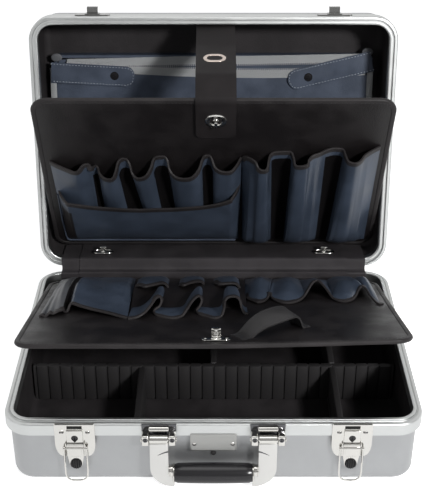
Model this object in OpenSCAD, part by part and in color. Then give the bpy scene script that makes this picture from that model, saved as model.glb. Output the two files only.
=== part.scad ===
// Hard tool case, lying on its base with the lid open and both tool boards swung out.
// Millimetres, +Z up, the front with the latches faces -Y, the origin is the middle of the
// base's underside. Lid parts are drawn as if the lid were shut, then turned about the hinge.

/* [Case] */
// Width of the case over its frames
case_w = 480; // [440:5:540]
// Depth of the case over its frames
case_d = 346; // [330:2:400]
// Height of the base, floor to the top of its frame
base_h = 90; // [88:1:120]
// Height of the lid above the base when shut
lid_h = 80; // [76:1:110]
// Outer radius of the case's upright corners
corner_r = 32; // [30:1:40]
// Radius where the sides turn into the floor of each shell
floor_r = 13; // [8:1:18]
// Wall of the two shells
shell_wall = 2.5; // [2:0.1:3]
// How far the shells stand back from the frames
shell_inset = 5; // [4:0.5:7]
// Thickness of the black lining
lining_t = 1.5; // [1:0.1:2]

/* [Frames] */
// Width of the aluminium frame seen from above
frame_w = 11; // [10:0.5:14]
// Height of the frame's outer face
frame_h = 18; // [16:1:22]
// Thickness of the frame's web and inner leg
frame_t = 2.5; // [1.5:0.1:2.5]
// Width of the raised lip along the frame's inner edge
lip_w = 4.5; // [4:0.1:5]
// Height of that lip
lip_h = 2; // [1:0.1:2.5]
// Gap between the two frames when shut
seam = 0.4; // [0.3:0.1:1]

/* [Lid hinge] */
// Angle to which the lid opens
lid_open = 98; // [95:1:100]
// Distance of the hinge pins behind the frames
hinge_out = 3.5; // [3.4:0.1:5]
// Distance of each hinge from the middle
hinge_x = 150; // [100:5:180]
// Length of each hinge
hinge_len = 50; // [40:2:70]
// Radius of the hinge knuckles
knuckle_r = 3.2; // [3:0.1:3.2]
// Radius of the hinge pins
hinge_pin_r = 1.5; // [1.2:0.1:1.8]
// Height of the hinge leaves on the frames
leaf_h = 15; // [12:1:15]

/* [Dividers] */
// Height of the slotted wall and the cross dividers
divider_h = 52; // [40:1:60]
// Thickness of the dividers
divider_t = 8; // [6:0.5:10]
// Distance between the slots
slot_pitch = 15; // [12:1:20]
// Width of a slot
slot_w = 2.4; // [2:0.1:3]
// Depth of a slot
slot_deep = 2; // [1.5:0.1:2.5]
// Place of the slotted wall, front to back
slotted_y = -10; // [-40:1:40]

/* [Tool boards] */
// Width of both tool boards
board_w = 450; // [410:2:452]
// Thickness of a board over its leather
board_t = 5; // [4:0.5:6]
// Length of the upper board from its fold
upper_len = 300; // [280:2:304]
// Length of the lower board from its fold
lower_len = 306.5; // [290:0.5:308]
// Corner radius of the boards
board_r = 22; // [15:1:28]
// Angle of the upper board out of the lid
upper_tilt = 33.5; // [28:0.5:35]
// Angle of the lower board above the base
lower_tilt = 17.2; // [12:0.2:20]
// Width of the leather binding round the boards
binding_w = 5; // [4:0.5:8]
// Thickness of the pockets' imitation leather
skin = 1.4; // [1:0.1:2]
// Height of the upper board's pockets
upper_deep = 25; // [18:1:26]
// Height of the lower board's pockets
lower_deep = 20; // [15:1:21]
// Width of the centre strap
strap_w = 50; // [40:1:60]

/* [Front hardware] */
// Distance of each latch from the middle
latch_x = 157; // [140:1:180]
// Width of the latch and catch plates
plate_w = 46; // [42:1:50]
// Thickness of the pressed plates
plate_t = 1.4; // [1:0.1:1.6]
// Radius of the lock cylinders
lock_r = 4; // [3:0.5:5]
// Radius of the bail wire
bail_r = 1.2; // [1:0.1:1.4]
// Distance of each handle arm from the middle
handle_x = 61.5; // [58:0.5:75]
// Width of the handle arms
arm_w = 21; // [16:1:22]
// Thickness of the handle arms
arm_t = 6; // [5:0.5:6]
// Length of the grip
grip_len = 89; // [80:1:90]
// Radius of the grip
grip_r = 12; // [11:0.5:12.5]
// Distance of the grip below the handle's pivot
grip_drop = 47; // [44:1:48]

/* [Hidden] */
$fn = 48;
eps = 0.01;
run_gap = 0.05;        // radial clearance of a pin in its bore
part_gap = 0.4;        // clearance between pieces that pass each other
front_y = -case_d / 2;
rear_y = case_d / 2;
shell_front = front_y + shell_inset;
shell_edge = 2.2;      // how far below a frame's web its shell ends
hinge_y = rear_y + hinge_out;
hinge_z = base_h;
lean = lid_open - 90;
lining_in = shell_inset + shell_wall + 0.3;
room_in = lining_in + lining_t;
floor_z = shell_wall + lining_t;
room_w = case_w - 2 * room_in;
room_d = case_d - 2 * room_in;
lid_top = base_h + lid_h;
lid_foot = base_h + seam;
lid_room_top = lid_top - floor_z;
frame_reach = 12;      // how far down the inner leg of a frame goes

// Fold of the upper board: distance along the lid from the hinge, and depth in the lid
upper_s = 20;
upper_t = 45;
upper_y = hinge_y - upper_s;
upper_z = base_h + upper_t;
// Fold of the lower board's hinge strip, in the base
lower_y = rear_y - frame_w - 4.2;
lower_z = base_h - 9.5;
strip_len = 11;        // from the strip's fold to the board's own fold

// Pockets: seams across each board, measured from the middle
loop_seams = [-207, -147, -108, -64, -6, 31];
loop_tops = [178, 180, 182, 190, 203];
tall_seams = [37, 92, 160, 214];
tall_tops = [188, 208, 227];
long_top = 120;
upper_foot = 15;
omega_x = [-76, -27, 22];
omega_w = 38;
omega_top = 196;
right_seams = [42, 76, 122, 150, 203];
right_top = 148;
left_pocket_x = [-212, -102];
left_top = 204;
lower_foot = 10;

// Latch heights above the floor
plate_low = base_h - 46;
lock_z = base_h - 18.5;
lever_z = base_h - 28;
bail_z = lever_z - 4.5;
pad_z = base_h - 54.3;
pad_r = 7;
lever_low = base_h - 47.4;
bail_low = 11.2;
face_y = front_y - plate_t;
lever_y = face_y - 1.9;
bail_y = lever_y - 1;
bail_x = 12.8;
bail_bend = 6;
lever_t = 1.4;
lever_w = 18.8;
hook_z = bail_z + (bail_z - bail_low) - bail_r;
hook_w = 14;

// Handle
pivot_y = front_y - 10;
pivot_z = base_h - 15;
pivot_r = 1.5;
lug_w = 8;
lug_in = arm_w / 2 + 0.6;
grip_y = pivot_y - 1.5;
grip_z = pivot_z - grip_drop;
ferrule_len = 6.2;
foot_z = grip_z - grip_r - 0.5 - 6.5;

// ---------- colours ----------
silver = [0.66, 0.67, 0.68];
satin = [0.84, 0.85, 0.84];
chrome = [0.88, 0.87, 0.84];
black = [0.1, 0.1, 0.11];
slate = [0.17, 0.2, 0.25];
pouch_blue = [0.3, 0.35, 0.42];

// ---------- shared shapes ----------
// Flat rounded rectangle about the origin
module rounded(w, d, r) {
    square([w - 2 * r, d], center = true);
    square([w, d - 2 * r], center = true);
    for (x = [-1, 1], y = [-1, 1])
        translate([x * (w / 2 - r), y * (d / 2 - r)]) circle(r);
}

// Outline of the case drawn inwards by an inset
module outline(inset) {
    rounded(case_w - 2 * inset, case_d - 2 * inset, max(corner_r - inset, 3));
}

// Ring of the case between two insets
module ring(outer, inner, z0, z1) {
    translate([0, 0, z0]) linear_extrude(z1 - z0) difference() {
        outline(outer);
        outline(inner);
    }
}

// Side view of a tray: square above, two round corners below
module tray_profile(w, h, r) {
    translate([-w / 2, r]) square([w, h - r]);
    translate([-w / 2 + r, 0]) square([w - 2 * r, r + eps]);
    for (x = [-1, 1]) translate([x * (w / 2 - r), r]) circle(r);
}

// Solid tray standing on z = 0
module tray(inset, h, r) {
    w = case_w - 2 * inset;
    d = case_d - 2 * inset;
    intersection() {
        linear_extrude(h) outline(inset);
        rotate([90, 0, 0]) linear_extrude(d + 2, center = true) tray_profile(w, h, r);
        rotate([90, 0, 90]) linear_extrude(w + 2, center = true) tray_profile(d, h, r);
    }
}

// Open tray with a wall
module shell(inset, wall, h, r) {
    difference() {
        tray(inset, h, r);
        translate([0, 0, wall]) tray(inset + wall, h, r - wall);
    }
}

// The same drawing turned upside down, for the lid
module flipped() {
    translate([0, 0, lid_top]) mirror([0, 0, 1]) children();
}

// Extrusion along X of a drawing made in the YZ plane
module across(len) {
    rotate([90, 0, 90]) linear_extrude(len, center = true) children();
}

// Cylinder along X
module rod(x0, x1, y, z, r) {
    translate([x0, y, z]) rotate([0, 90, 0]) cylinder(h = x1 - x0, r = r);
}

// Cylinder along -Y, standing on a face
module boss(x, y, z, r, h) {
    translate([x, y, z]) rotate([90, 0, 0]) cylinder(h = h, r = r);
}

// Block from low corner to high corner
module block(low, high) {
    translate(low) cube(high - low);
}

// ---------- poses ----------
module lid_pose() {
    translate([0, hinge_y, hinge_z]) rotate([-lid_open, 0, 0])
        translate([0, -hinge_y, -hinge_z]) children();
}

// Board drawings start at the fold, run along -Y, and carry pockets on +Z
module upper_pose() {
    lid_pose() translate([0, upper_y, upper_z]) rotate([upper_tilt, 0, 0])
        mirror([0, 0, 1]) children();
}

module lower_pose() {
    translate([0, lower_y, lower_z]) rotate([-lower_tilt, 0, 0]) children();
}

module lower_board_pose() {
    lower_pose() translate([0, -strip_len, 0]) children();
}

// A place in the open lid: s along it from the hinge, t into it
function lid_pt(s, t) = [hinge_y + s * sin(lean) + t * cos(lean),
                         hinge_z + s * cos(lean) - t * sin(lean)];

// A place on the upper board: r from its fold, h above its middle
function upper_pt(r, h) = lid_pt(upper_s + r * cos(upper_tilt) - h * sin(upper_tilt),
                                 upper_t - r * sin(upper_tilt) - h * cos(upper_tilt));

// ---------- bent sheets ----------
function unit(v) = v / norm(v);
function left_of(v) = [-v[1], v[0]];
// Mitred offset of a path's point to one side
function side_pt(p, i, o) =
    let (n = len(p) - 1,
         a = i > 0 ? unit(p[i] - p[i - 1]) : unit(p[1] - p[0]),
         b = i < n ? unit(p[i + 1] - p[i]) : a,
         m = unit(left_of(a) + left_of(b)))
    p[i] + m * o / (m * left_of(a));

// Sheet of thickness t along a path in the YZ plane
module sheet(path, t, w) {
    n = len(path) - 1;
    one = [for (i = [0:n]) side_pt(path, i, t / 2)];
    two = [for (i = [n:-1:0]) side_pt(path, i, -t / 2)];
    across(w) polygon(concat(one, two));
}

// ---------- case ----------
module base_shell() {
    color(silver) shell(shell_inset, shell_wall, base_h - lip_h - shell_edge, floor_r);
}

module base_frame() {
    top = base_h - lip_h;
    web = top - shell_edge + 0.2;
    color(satin) {
        ring(0, shell_inset - 0.3, base_h - frame_h, top);
        ring(shell_inset - 0.3 - eps, frame_w, web, top);
        ring(frame_w - frame_t, frame_w, base_h - frame_reach, web + eps);
        ring(frame_w - lip_w, frame_w, top - eps, base_h);
    }
}

module base_lining() {
    color(black) translate([0, 0, shell_wall])
        shell(lining_in, lining_t, base_h - frame_reach - 0.3 - shell_wall, floor_r - shell_wall);
}

module lid_shell() {
    color(silver) lid_pose() flipped()
        shell(shell_inset, shell_wall, lid_h - seam - shell_edge, floor_r);
}

module lid_frame() {
    web = lid_foot + shell_edge - 0.2;
    top = base_h + frame_h;
    color(satin) lid_pose() {
        ring(0, shell_inset - 0.3, lid_foot - lip_h, top);
        ring(shell_inset - 0.3 - eps, frame_w, lid_foot, web);
        ring(frame_w - frame_t, frame_w, web - eps, base_h + frame_reach);
    }
}

module lid_lining() {
    color(black) lid_pose() flipped() translate([0, 0, shell_wall])
        shell(lining_in, lining_t, lid_h - frame_reach - 0.3 - shell_wall, floor_r - shell_wall);
}

// ---------- dividers ----------
// One slotted face of the wall, seen from above: points along +X
function slot_edge(y, deep, n) = [for (k = [-n:n], q = [[-1, 0], [-1, 1], [1, 1], [1, 0]])
    [k * slot_pitch + q[0] * slot_w / 2, y + q[1] * deep]];

// Whatever stands in the base is cut to the lining's rounded floor
module in_base() {
    intersection() {
        children();
        translate([0, 0, floor_z]) tray(room_in + 0.3, base_h, floor_r - floor_z);
    }
}

module slotted_wall() {
    half = room_w / 2 - 0.3;
    n = floor((half - slot_w) / slot_pitch);
    t = divider_t / 2;
    front = slot_edge(-t, slot_deep, n);
    back = slot_edge(t, -slot_deep, n);
    last = len(back) - 1;
    turned = [for (i = [last:-1:0]) back[i]];
    color(black) in_base() translate([0, slotted_y, floor_z]) linear_extrude(divider_h)
        polygon(concat([[-half, -t]], front, [[half, -t], [half, t]], turned, [[-half, t]]));
}

// Plate from the slotted wall to the front (side -1) or the back (side 1)
module cross_divider(x, side) {
    near = slotted_y + side * divider_t / 2;
    far = side * (room_d / 2 - 0.3);
    tongue = slot_deep - 0.3;
    y0 = near + side * 0.3;
    color(black) in_base() translate([x, 0, floor_z]) {
        translate([-divider_t / 2, min(y0, far), 0]) cube([divider_t, abs(far - y0), divider_h]);
        translate([-slot_w / 2 + 0.2, min(y0, near - side * tongue), 0])
            cube([slot_w - 0.4, tongue + 0.3, divider_h]);
    }
}

module divider_front_left() cross_divider(-6 * slot_pitch, -1);
module divider_front_right() cross_divider(10 * slot_pitch, -1);
module divider_rear_middle() cross_divider(0, 1);
module divider_rear_right() cross_divider(10 * slot_pitch, 1);

// ---------- lid hinges ----------
knuckle_len = hinge_len / 4;
leaf_gap = 0.3;

// Leaf on the outside of a frame with knuckles at the given stretches
module leaf(stretches, z0, z1) {
    for (x = [-hinge_x, hinge_x]) translate([x, 0, 0]) difference() {
        union() {
            block([-hinge_len / 2, rear_y, z0], [hinge_len / 2, rear_y + plate_t, z1]);
            for (s = stretches) {
                rod(s[0], s[1], hinge_y, hinge_z, knuckle_r);
                block([s[0], rear_y + 0.3, min(z0, hinge_z)],
                      [s[1], rear_y + plate_t, max(z1, hinge_z)]);
            }
            for (x = [-0.3, 0.3])
                boss(x * hinge_len, rear_y + plate_t + 0.9, (z0 + z1) / 2, 2.2, 1);
        }
        rod(-hinge_len, hinge_len, hinge_y, hinge_z, hinge_pin_r + run_gap);
    }
}

module base_hinge_leaves() {
    edge = knuckle_len;
    far = hinge_len / 2;
    color(chrome) leaf([[-far, -edge - leaf_gap], [edge + leaf_gap, far]],
        hinge_z - 3 - leaf_h, hinge_z - knuckle_r - part_gap);
}

module lid_hinge_leaves() {
    edge = knuckle_len;
    color(chrome) lid_pose() leaf([[-edge, edge]],
        hinge_z + knuckle_r + part_gap, hinge_z + 3 + leaf_h);
}

module hinge_pins() {
    color(chrome) for (x = [-hinge_x, hinge_x])
        rod(x - hinge_len / 2, x + hinge_len / 2, hinge_y, hinge_z, hinge_pin_r);
}

// ---------- leather over the hinge ----------
cover_t = 1;
cover_w = 422;
flap_w = 372;
in_front = 2.5 + part_gap;
rail_s = hinge_out + frame_w;
flap_end = 50;

module hinge_cover() {
    off = part_gap + cover_t / 2;
    inner_y = rear_y - frame_w - off;
    path = [[inner_y, base_h - frame_reach], [inner_y, base_h + off],
            [rear_y - off, base_h + off], lid_pt(rail_s + off, -in_front),
            lid_pt(rail_s + off, flap_end)];
    color(black) sheet(path, cover_t, cover_w);
}

module spine_flap() {
    off = part_gap + cover_t + 0.3 + cover_t / 2;
    inner_y = rear_y - frame_w - off;
    path = [[inner_y, base_h - frame_reach], [inner_y, base_h + off],
            [rear_y - off, base_h + off], lid_pt(rail_s + off, -in_front - cover_t - 0.3),
            lid_pt(rail_s + off, flap_end)];
    color(black) sheet(path, cover_t, flap_w);
}

flap_top = rail_s + part_gap + 2 * cover_t + 0.3;
turnlock_x = 155;
turnlock_t = 16;

// Turn-lock drawn on z = 0: oval plate with a raised collar
module turnlock_plate(w, d) {
    h = 1;
    difference() {
        union() {
            linear_extrude(h) rounded(w, d, d / 2 - eps);
            cylinder(h = 3, r = 3.6);
        }
        translate([0, 0, -1]) cylinder(h = 6, r = 2 + run_gap);
    }
}

// Its knob: a stem with a flat cross bar
module turnlock_knob(h, bar) {
    translate([0, 0, 0.2]) cylinder(h = h - 1, r = 2);
    translate([0, 0, h - 3.4]) linear_extrude(3.4) rounded(bar, 4, 1.9);
}

// Place on the flap in the lid, with +Z off the flap
module on_flap(x) {
    lid_pose() translate([x, hinge_y - flap_top - 0.3, base_h + turnlock_t])
        rotate([90, 0, 0]) children();
}

module flap_turnlock_plates() {
    color(chrome) for (x = [-turnlock_x, turnlock_x]) on_flap(x) turnlock_plate(29, 15);
}

module flap_turnlock_left() color(chrome) on_flap(-turnlock_x) turnlock_knob(9, 10);
module flap_turnlock_right() color(chrome) on_flap(turnlock_x) turnlock_knob(9, 10);

// ---------- latches ----------
// Drawn about x = 0 and placed by this
module at_latch(side) {
    translate([side * latch_x, 0, 0]) children();
}

// Shield outline of the plate in the XZ plane
module shield() {
    half = plate_w / 2;
    neck = 14;
    bend = 18;
    curve = [for (a = [0:15:90])
        [neck + (half - neck) * sin(a), plate_low + bend * (1 - cos(a))]];
    left = [for (i = [len(curve) - 1:-1:0]) [-curve[i][0], curve[i][1]]];
    polygon(concat(left, curve, [[half, base_h], [-half, base_h]]));
}

module latch_plate() {
    slot_z = base_h - 6.7;
    lug_x = lever_w / 2 + 0.4;
    lug_t = 1.4;
    house_h = 2.6;
    color(chrome) difference() {
        union() {
            translate([0, front_y, 0]) rotate([90, 0, 0]) linear_extrude(plate_t) shield();
            block([-lever_w / 2, face_y - house_h, lever_z + 2.4],
                  [lever_w / 2, face_y + eps, base_h - 9]);
            block([-12, front_y - eps, plate_low + 2], [12, shell_front, base_h - frame_h - 0.3]);
            for (x = [-lug_x - lug_t, lug_x]) {
                rod(x, x + lug_t, lever_y, lever_z, 2.3);
                block([x, lever_y, lever_z - 2.3], [x + lug_t, face_y + eps, lever_z + 2.3]);
            }
        }
        block([-lever_w / 2, face_y - 1, slot_z], [lever_w / 2, front_y + 1, slot_z + 3.4]);
        boss(0, front_y + 1, lock_z, lock_r + run_gap, 10);
        rod(-20, 20, lever_y, lever_z, 0.9);
    }
}

module latch_plate_left() at_latch(-1) latch_plate();
module latch_plate_right() at_latch(1) latch_plate();

module lock_cylinder() {
    face = face_y - 2.6 - 0.3;
    color(black) difference() {
        boss(0, front_y - 0.1, lock_z, lock_r, front_y - 0.1 - face);
        boss(0, face + 1.5, lock_z + 0.8, 1.3, 3);
        block([-0.6, face - 1, lock_z - 2.6], [0.6, face + 1.5, lock_z + 0.8]);
    }
}

module lock_cylinder_left() at_latch(-1) lock_cylinder();
module lock_cylinder_right() at_latch(1) lock_cylinder();

// Flap of the latch with the two pins that carry the bail
module latch_lever() {
    half = lever_w / 2;
    arm = 9.4;
    pin_end = bail_x + bail_r + 0.4;
    color(chrome) {
        rod(-half - 1.7, half + 1.7, lever_y, lever_z, 0.85);
        rod(-half, half, lever_y, lever_z, 1.5);
        block([-half, lever_y - lever_t / 2, lever_low], [half, lever_y + lever_t / 2, lever_z]);
        boss(0, lever_y + lever_t / 2, pad_z, pad_r + 0.4, lever_t);
        block([-5, lever_y - lever_t / 2, pad_z], [5, lever_y + lever_t / 2, lever_low + eps]);
        block([-half, bail_y - 1.4, bail_z - 1.4], [half, lever_y + lever_t / 2, bail_z + 1.4]);
        rod(-pin_end, pin_end, bail_y, bail_z, 1);
    }
}

module latch_lever_left() at_latch(-1) latch_lever();
module latch_lever_right() at_latch(1) latch_lever();

// Ribbed pad at the lever's end
module thumb_pad() {
    back = lever_y - lever_t / 2;
    color(black) {
        boss(0, back, pad_z, pad_r, 2);
        for (x = [-4.8:2.4:4.8]) {
            reach = sqrt(pow(pad_r - 0.6, 2) - x * x);
            block([x - 0.6, back - 2.7, pad_z - reach], [x + 0.6, back - 2 + eps, pad_z + reach]);
        }
    }
}

module thumb_pad_left() at_latch(-1) thumb_pad();
module thumb_pad_right() at_latch(1) thumb_pad();

// Wire bail: two eyes, two legs, two bends and a cross bar
module latch_bail() {
    bend_z = bail_low + bail_bend;
    bend_x = bail_x - bail_bend;
    color(chrome) difference() {
        union() {
            for (s = [-1, 1]) {
                translate([s * bail_x, bail_y, bend_z])
                    cylinder(h = bail_z - bend_z - 1.4, r = bail_r);
                rod(s * bail_x - bail_r, s * bail_x + bail_r, bail_y, bail_z, 2.2);
                translate([s * bend_x, bail_y, bend_z]) rotate([90, 0, 0])
                    rotate([0, 0, s > 0 ? -90 : 180])
                    rotate_extrude(angle = 90) translate([bail_bend, 0]) circle(bail_r);
            }
            rod(-bend_x, bend_x, bail_y, bail_low, bail_r);
        }
        rod(-20, 20, bail_y, bail_z, 1 + run_gap);
    }
}

module latch_bail_left() at_latch(-1) latch_bail();
module latch_bail_right() at_latch(1) latch_bail();

// Catch on the lid's frame: wing plate, block and upturned hook
module catch() {
    hook_y = face_y - 9;
    block_y = face_y - 1.2;
    color(chrome) {
        translate([0, front_y, 0]) rotate([90, 0, 0]) linear_extrude(plate_t)
            translate([0, base_h + 10]) rounded(plate_w - 1, 13, 2.5);
        block([-9.4, block_y, base_h + 5], [9.4, face_y + eps, base_h + 15.5]);
        block([-hook_w / 2, hook_y, hook_z - 2.4], [hook_w / 2, block_y + eps, hook_z]);
        block([-hook_w / 2, hook_y, hook_z - eps], [hook_w / 2, hook_y + 1.6, hook_z + 4]);
    }
}

module catch_left() lid_pose() at_latch(-1) catch();
module catch_right() lid_pose() at_latch(1) catch();

// ---------- handle ----------
module at_bracket(side) {
    translate([side * handle_x, 0, 0]) children();
}

module handle_bracket() {
    half = lug_in + lug_w;
    color(chrome) difference() {
        union() {
            block([-half - 0.8, face_y, pivot_z + 0.5], [half + 0.8, front_y, base_h - 0.5]);
            block([-half, face_y, pivot_z - 6.5], [half, shell_front, base_h - frame_h - 0.3]);
            for (x = [-half, lug_in]) {
                block([x, pivot_y, pivot_z - 6.5], [x + lug_w, face_y + eps, pivot_z + 5.5]);
                rod(x, x + lug_w, pivot_y, pivot_z, 5);
            }
            rod(-arm_w / 2, arm_w / 2, face_y - 1.6, base_h - 3.7, 1.9);
        }
        rod(-half - 1, half + 1, pivot_y, pivot_z, pivot_r);
    }
}

module handle_bracket_left() at_bracket(-1) handle_bracket();
module handle_bracket_right() at_bracket(1) handle_bracket();

module handle_pins() {
    half = lug_in + lug_w;
    color(chrome) for (side = [-1, 1]) at_bracket(side) {
        rod(-half - 0.6, half + 0.6, pivot_y, pivot_z, pivot_r);
        for (x = [-half - 1.4, half]) rod(x, x + 1.4, pivot_y, pivot_z, 3);
    }
}

// Flat arm in the XZ plane, drawn for the right hand side
module arm_outline() {
    inner = handle_x - arm_w / 2;
    outer = handle_x + arm_w / 2;
    toe = grip_len / 2;
    bend = outer - toe - 1;
    sweep = [for (a = [0:10:90])
        [outer - bend * (1 - cos(a)), foot_z + bend * (1 - sin(a))]];
    polygon(concat([[inner, pivot_z], [outer, pivot_z]], sweep,
        [[toe, foot_z], [toe, foot_z + 6.3], [inner, foot_z + 6.3]]));
}

module handle_arm() {
    color(satin) difference() {
        union() {
            translate([0, pivot_y + arm_t / 2, 0]) rotate([90, 0, 0])
                linear_extrude(arm_t) arm_outline();
            rod(handle_x - arm_w / 2, handle_x + arm_w / 2, pivot_y, pivot_z, arm_t / 2 + 0.4);
        }
        rod(handle_x - arm_w, handle_x + arm_w, pivot_y, pivot_z, pivot_r + run_gap);
    }
}

module handle_arm_right() handle_arm();
module handle_arm_left() mirror([1, 0, 0]) handle_arm();

module handle_grip() {
    half = grip_len / 2;
    soft = 1.5;
    profile = [[0, -half], [grip_r - soft, -half], [grip_r, -half + soft],
               [grip_r, half - soft], [grip_r - soft, half], [0, half]];
    color(black) translate([0, grip_y, grip_z]) rotate([0, 90, 0])
        rotate_extrude() polygon(profile);
}

module grip_ferrules() {
    end = handle_x - arm_w / 2;
    r = grip_r + 0.3;
    color(chrome) for (side = [-1, 1]) translate([0, grip_y, grip_z])
        rotate([0, side * 90, 0]) rotate_extrude()
        polygon([[0, end - ferrule_len], [r, end - ferrule_len], [r, end - 4],
                 [r - 1.2, end - 3], [r - 1.2, end], [0, end]]);
}

module nameplate() {
    w = 53;
    low = base_h - 39;
    high = base_h - 15;
    color(satin) {
        translate([0, front_y, (low + high) / 2]) rotate([90, 0, 0])
            linear_extrude(0.8) rounded(w, high - low, 2);
        block([-w / 2 + 2, front_y - eps, low + 2],
              [w / 2 - 2, shell_front, base_h - frame_h - 0.3]);
    }
}

module grip_buffer() {
    color(black) boss(0, shell_front, base_h - 46, 3, 1.5);
}

// Round rivet heads on the front and on the hinges' leaves
module front_rivets() {
    color(chrome) {
        for (side = [-1, 1], x = [-14.8, 14.8]) at_latch(side)
            boss(x, face_y, base_h - 12, 2.4, 1);
        for (x = [-21.8, 21.8]) boss(x, front_y - 0.8, base_h - 28.5, 2.2, 0.9);
    }
}

// ---------- lid furniture ----------
pouch_w = 434;
pouch_low = 22;
pouch_high = 288;
pouch_front = 58;
pouch_y0 = hinge_y - pouch_high;
pouch_y1 = hinge_y - pouch_low;
pouch_z0 = base_h + pouch_front;

// Front panel and gusset of the pouch, sewn to the lid's lining
module document_pouch() {
    len = pouch_y1 - pouch_y0;
    deep = lid_room_top - pouch_z0;
    color(pouch_blue) lid_pose() translate([0, (pouch_y0 + pouch_y1) / 2, pouch_z0])
        difference() {
            linear_extrude(deep) rounded(pouch_w, len, 6);
            translate([0, 0, skin]) linear_extrude(deep)
                rounded(pouch_w - 2 * skin, len - 2 * skin, 6 - skin);
        }
}

module pouch_zip() {
    color([0.6, 0.6, 0.6]) lid_pose()
        block([-pouch_w / 2 + 8, pouch_y0 + 4, pouch_z0 - zip_t],
              [pouch_w / 2 - 8, pouch_y0 + 28, pouch_z0]);
}

// Each strap on the pouch: its root and its tip as [x, distance along the lid], and its snap
snap_strap_w = 24;
snap_strap_t = 2.2;
zip_t = 1.6;
snap_r = 6;
left_root = [1 - pouch_w / 2, pouch_high - 14];
left_tip = [-104, pouch_high - 26];
left_snap = [-132, pouch_high - 23];
right_root = [pouch_w / 2 - 3, pouch_high - 4];
right_tip = [98, pouch_high - 32];
right_snap = [127, pouch_high - 25];
snap_strap_z = pouch_z0 - zip_t - snap_strap_t - 0.2;

module pouch_strap(root, tip) {
    way = tip - root;
    run = norm(way);
    half = snap_strap_w / 2;
    color(pouch_blue) lid_pose() translate([root[0], hinge_y - root[1], snap_strap_z])
        rotate([0, 0, atan2(-way[1], way[0])]) linear_extrude(snap_strap_t) {
            translate([0, -half]) square([run - half, snap_strap_w]);
            translate([run - half, 0]) circle(half);
        }
}

module pouch_straps() {
    pouch_strap(left_root, left_tip);
    pouch_strap(right_root, right_tip);
}

module strap_snaps() {
    color(black) lid_pose() for (p = [left_snap, right_snap])
        translate([p[0], hinge_y - p[1], snap_strap_z - 1.6]) cylinder(h = 1.6, r = snap_r);
}

strap_x = 3;
strap_t = 2;
strap_end = 234;
strap_knob = 263;

// Strap from the lid's front wall over the upper board's edge to its turn-lock
module centre_strap() {
    lift = board_t / 2 + 0.6 + strap_t / 2;
    over = upper_len + 1.2 + strap_t / 2;
    wall_s = case_d + hinge_out - frame_w;
    path = [lid_pt(wall_s - 2, 24), lid_pt(wall_s - 4, 4), lid_pt(wall_s - 20, -34),
            upper_pt(over + 4, -lift - 3), upper_pt(over + 2, lift - 2), upper_pt(over - 1.5, lift),
            upper_pt(strap_end, lift)];
    color(black) translate([strap_x, 0, 0]) difference() {
        sheet(path, strap_t, strap_w);
        upper_pose() translate([0, -strap_knob, 0]) cylinder(h = 20, r = 5);
    }
}

// ---------- boards ----------
// Board with its fold at y = 0 and its free end at y = -len
module board_plan(len, inset) {
    translate([0, -len / 2]) rounded(board_w - 2 * inset, len - 2 * inset, board_r - inset);
}

module board_panel(len) {
    t = board_t - 0.8;
    translate([0, 0, -t / 2]) linear_extrude(t) board_plan(len, binding_w + 0.05);
}

// Binding round the edge, rounded along the fold
module board_binding(len) {
    translate([0, 0, -board_t / 2]) linear_extrude(board_t) difference() {
        board_plan(len, 0);
        board_plan(len, binding_w);
    }
    half = board_w / 2 - board_r;
    rod(-half, half, 0, 0, board_t / 2);
}

// Section of a pocket: flat on the board, round shoulders
module hump(x0, x1, h) {
    r = min(h - 1, (x1 - x0) / 2 - 0.5, 14);
    translate([x0, 0]) square([x1 - x0, h - r]);
    translate([x0 + r, 0]) square([x1 - x0 - 2 * r, h]);
    for (x = [x0 + r, x1 - r]) translate([x, h - r]) circle(r);
}

// Run of that section from y = -a to y = -b, rising from height low to height h
module bellows(x0, x1, low, h, a, b) {
    intersection() {
        translate([0, -a, 0]) rotate([90, 0, 0]) linear_extrude(b - a) hump(x0, x1, h);
        translate([(x0 + x1) / 2, 0, 0]) across(x1 - x0 + 2)
            polygon([[-a + 1, 0], [-a + 1, low], [-b - 1, h + 0.1], [-b - 1, 0]]);
    }
}

// Pocket on a board: its foot at a is closed when shut is true, its mouth is at b
module pocket(x0, x1, low, h, a, b, shut) {
    foot = shut ? a + skin : a - 1;
    translate([0, 0, board_t / 2 + 0.05]) difference() {
        bellows(x0, x1, low, h, a, b);
        translate([0, 0, -eps])
            bellows(x0 + skin, x1 - skin, low - skin, h - skin, foot, b + 1);
    }
}

module upper_board() color(black) upper_pose() board_panel(upper_len);
module upper_binding() color(black) upper_pose() board_binding(upper_len);

module tool_loops() {
    color(slate) upper_pose() for (i = [0:len(loop_tops) - 1])
        pocket(loop_seams[i] + 0.5, loop_seams[i + 1] - 0.5, upper_deep - 7, upper_deep - 3,
            long_top + 1, loop_tops[i], false);
}

module long_pocket() {
    first = loop_seams[0];
    last = loop_seams[len(loop_seams) - 1];
    color(slate) upper_pose() pocket(first, last, 9, upper_deep, upper_foot, long_top, true);
}

module tall_pockets() {
    color(slate) upper_pose() for (i = [0:len(tall_tops) - 1])
        pocket(tall_seams[i] + 0.5, tall_seams[i + 1] - 0.5, 9, upper_deep,
            upper_foot, tall_tops[i], true);
}

module on_upper_board() {
    upper_pose() translate([strap_x, -strap_knob, board_t / 2]) children();
}

module upper_turnlock_plate() {
    rise = 0.6 + strap_t + 0.3;
    color(chrome) on_upper_board() {
        difference() {
            cylinder(h = rise + 0.2, r = 4.6);
            translate([0, 0, -1]) cylinder(h = 9, r = 2 + run_gap);
        }
        translate([0, 0, rise]) turnlock_plate(25, 18);
    }
}

module upper_turnlock_knob() {
    color(chrome) on_upper_board() translate([0, 0, 0.6 + strap_t]) turnlock_knob(9, 12);
}

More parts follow.
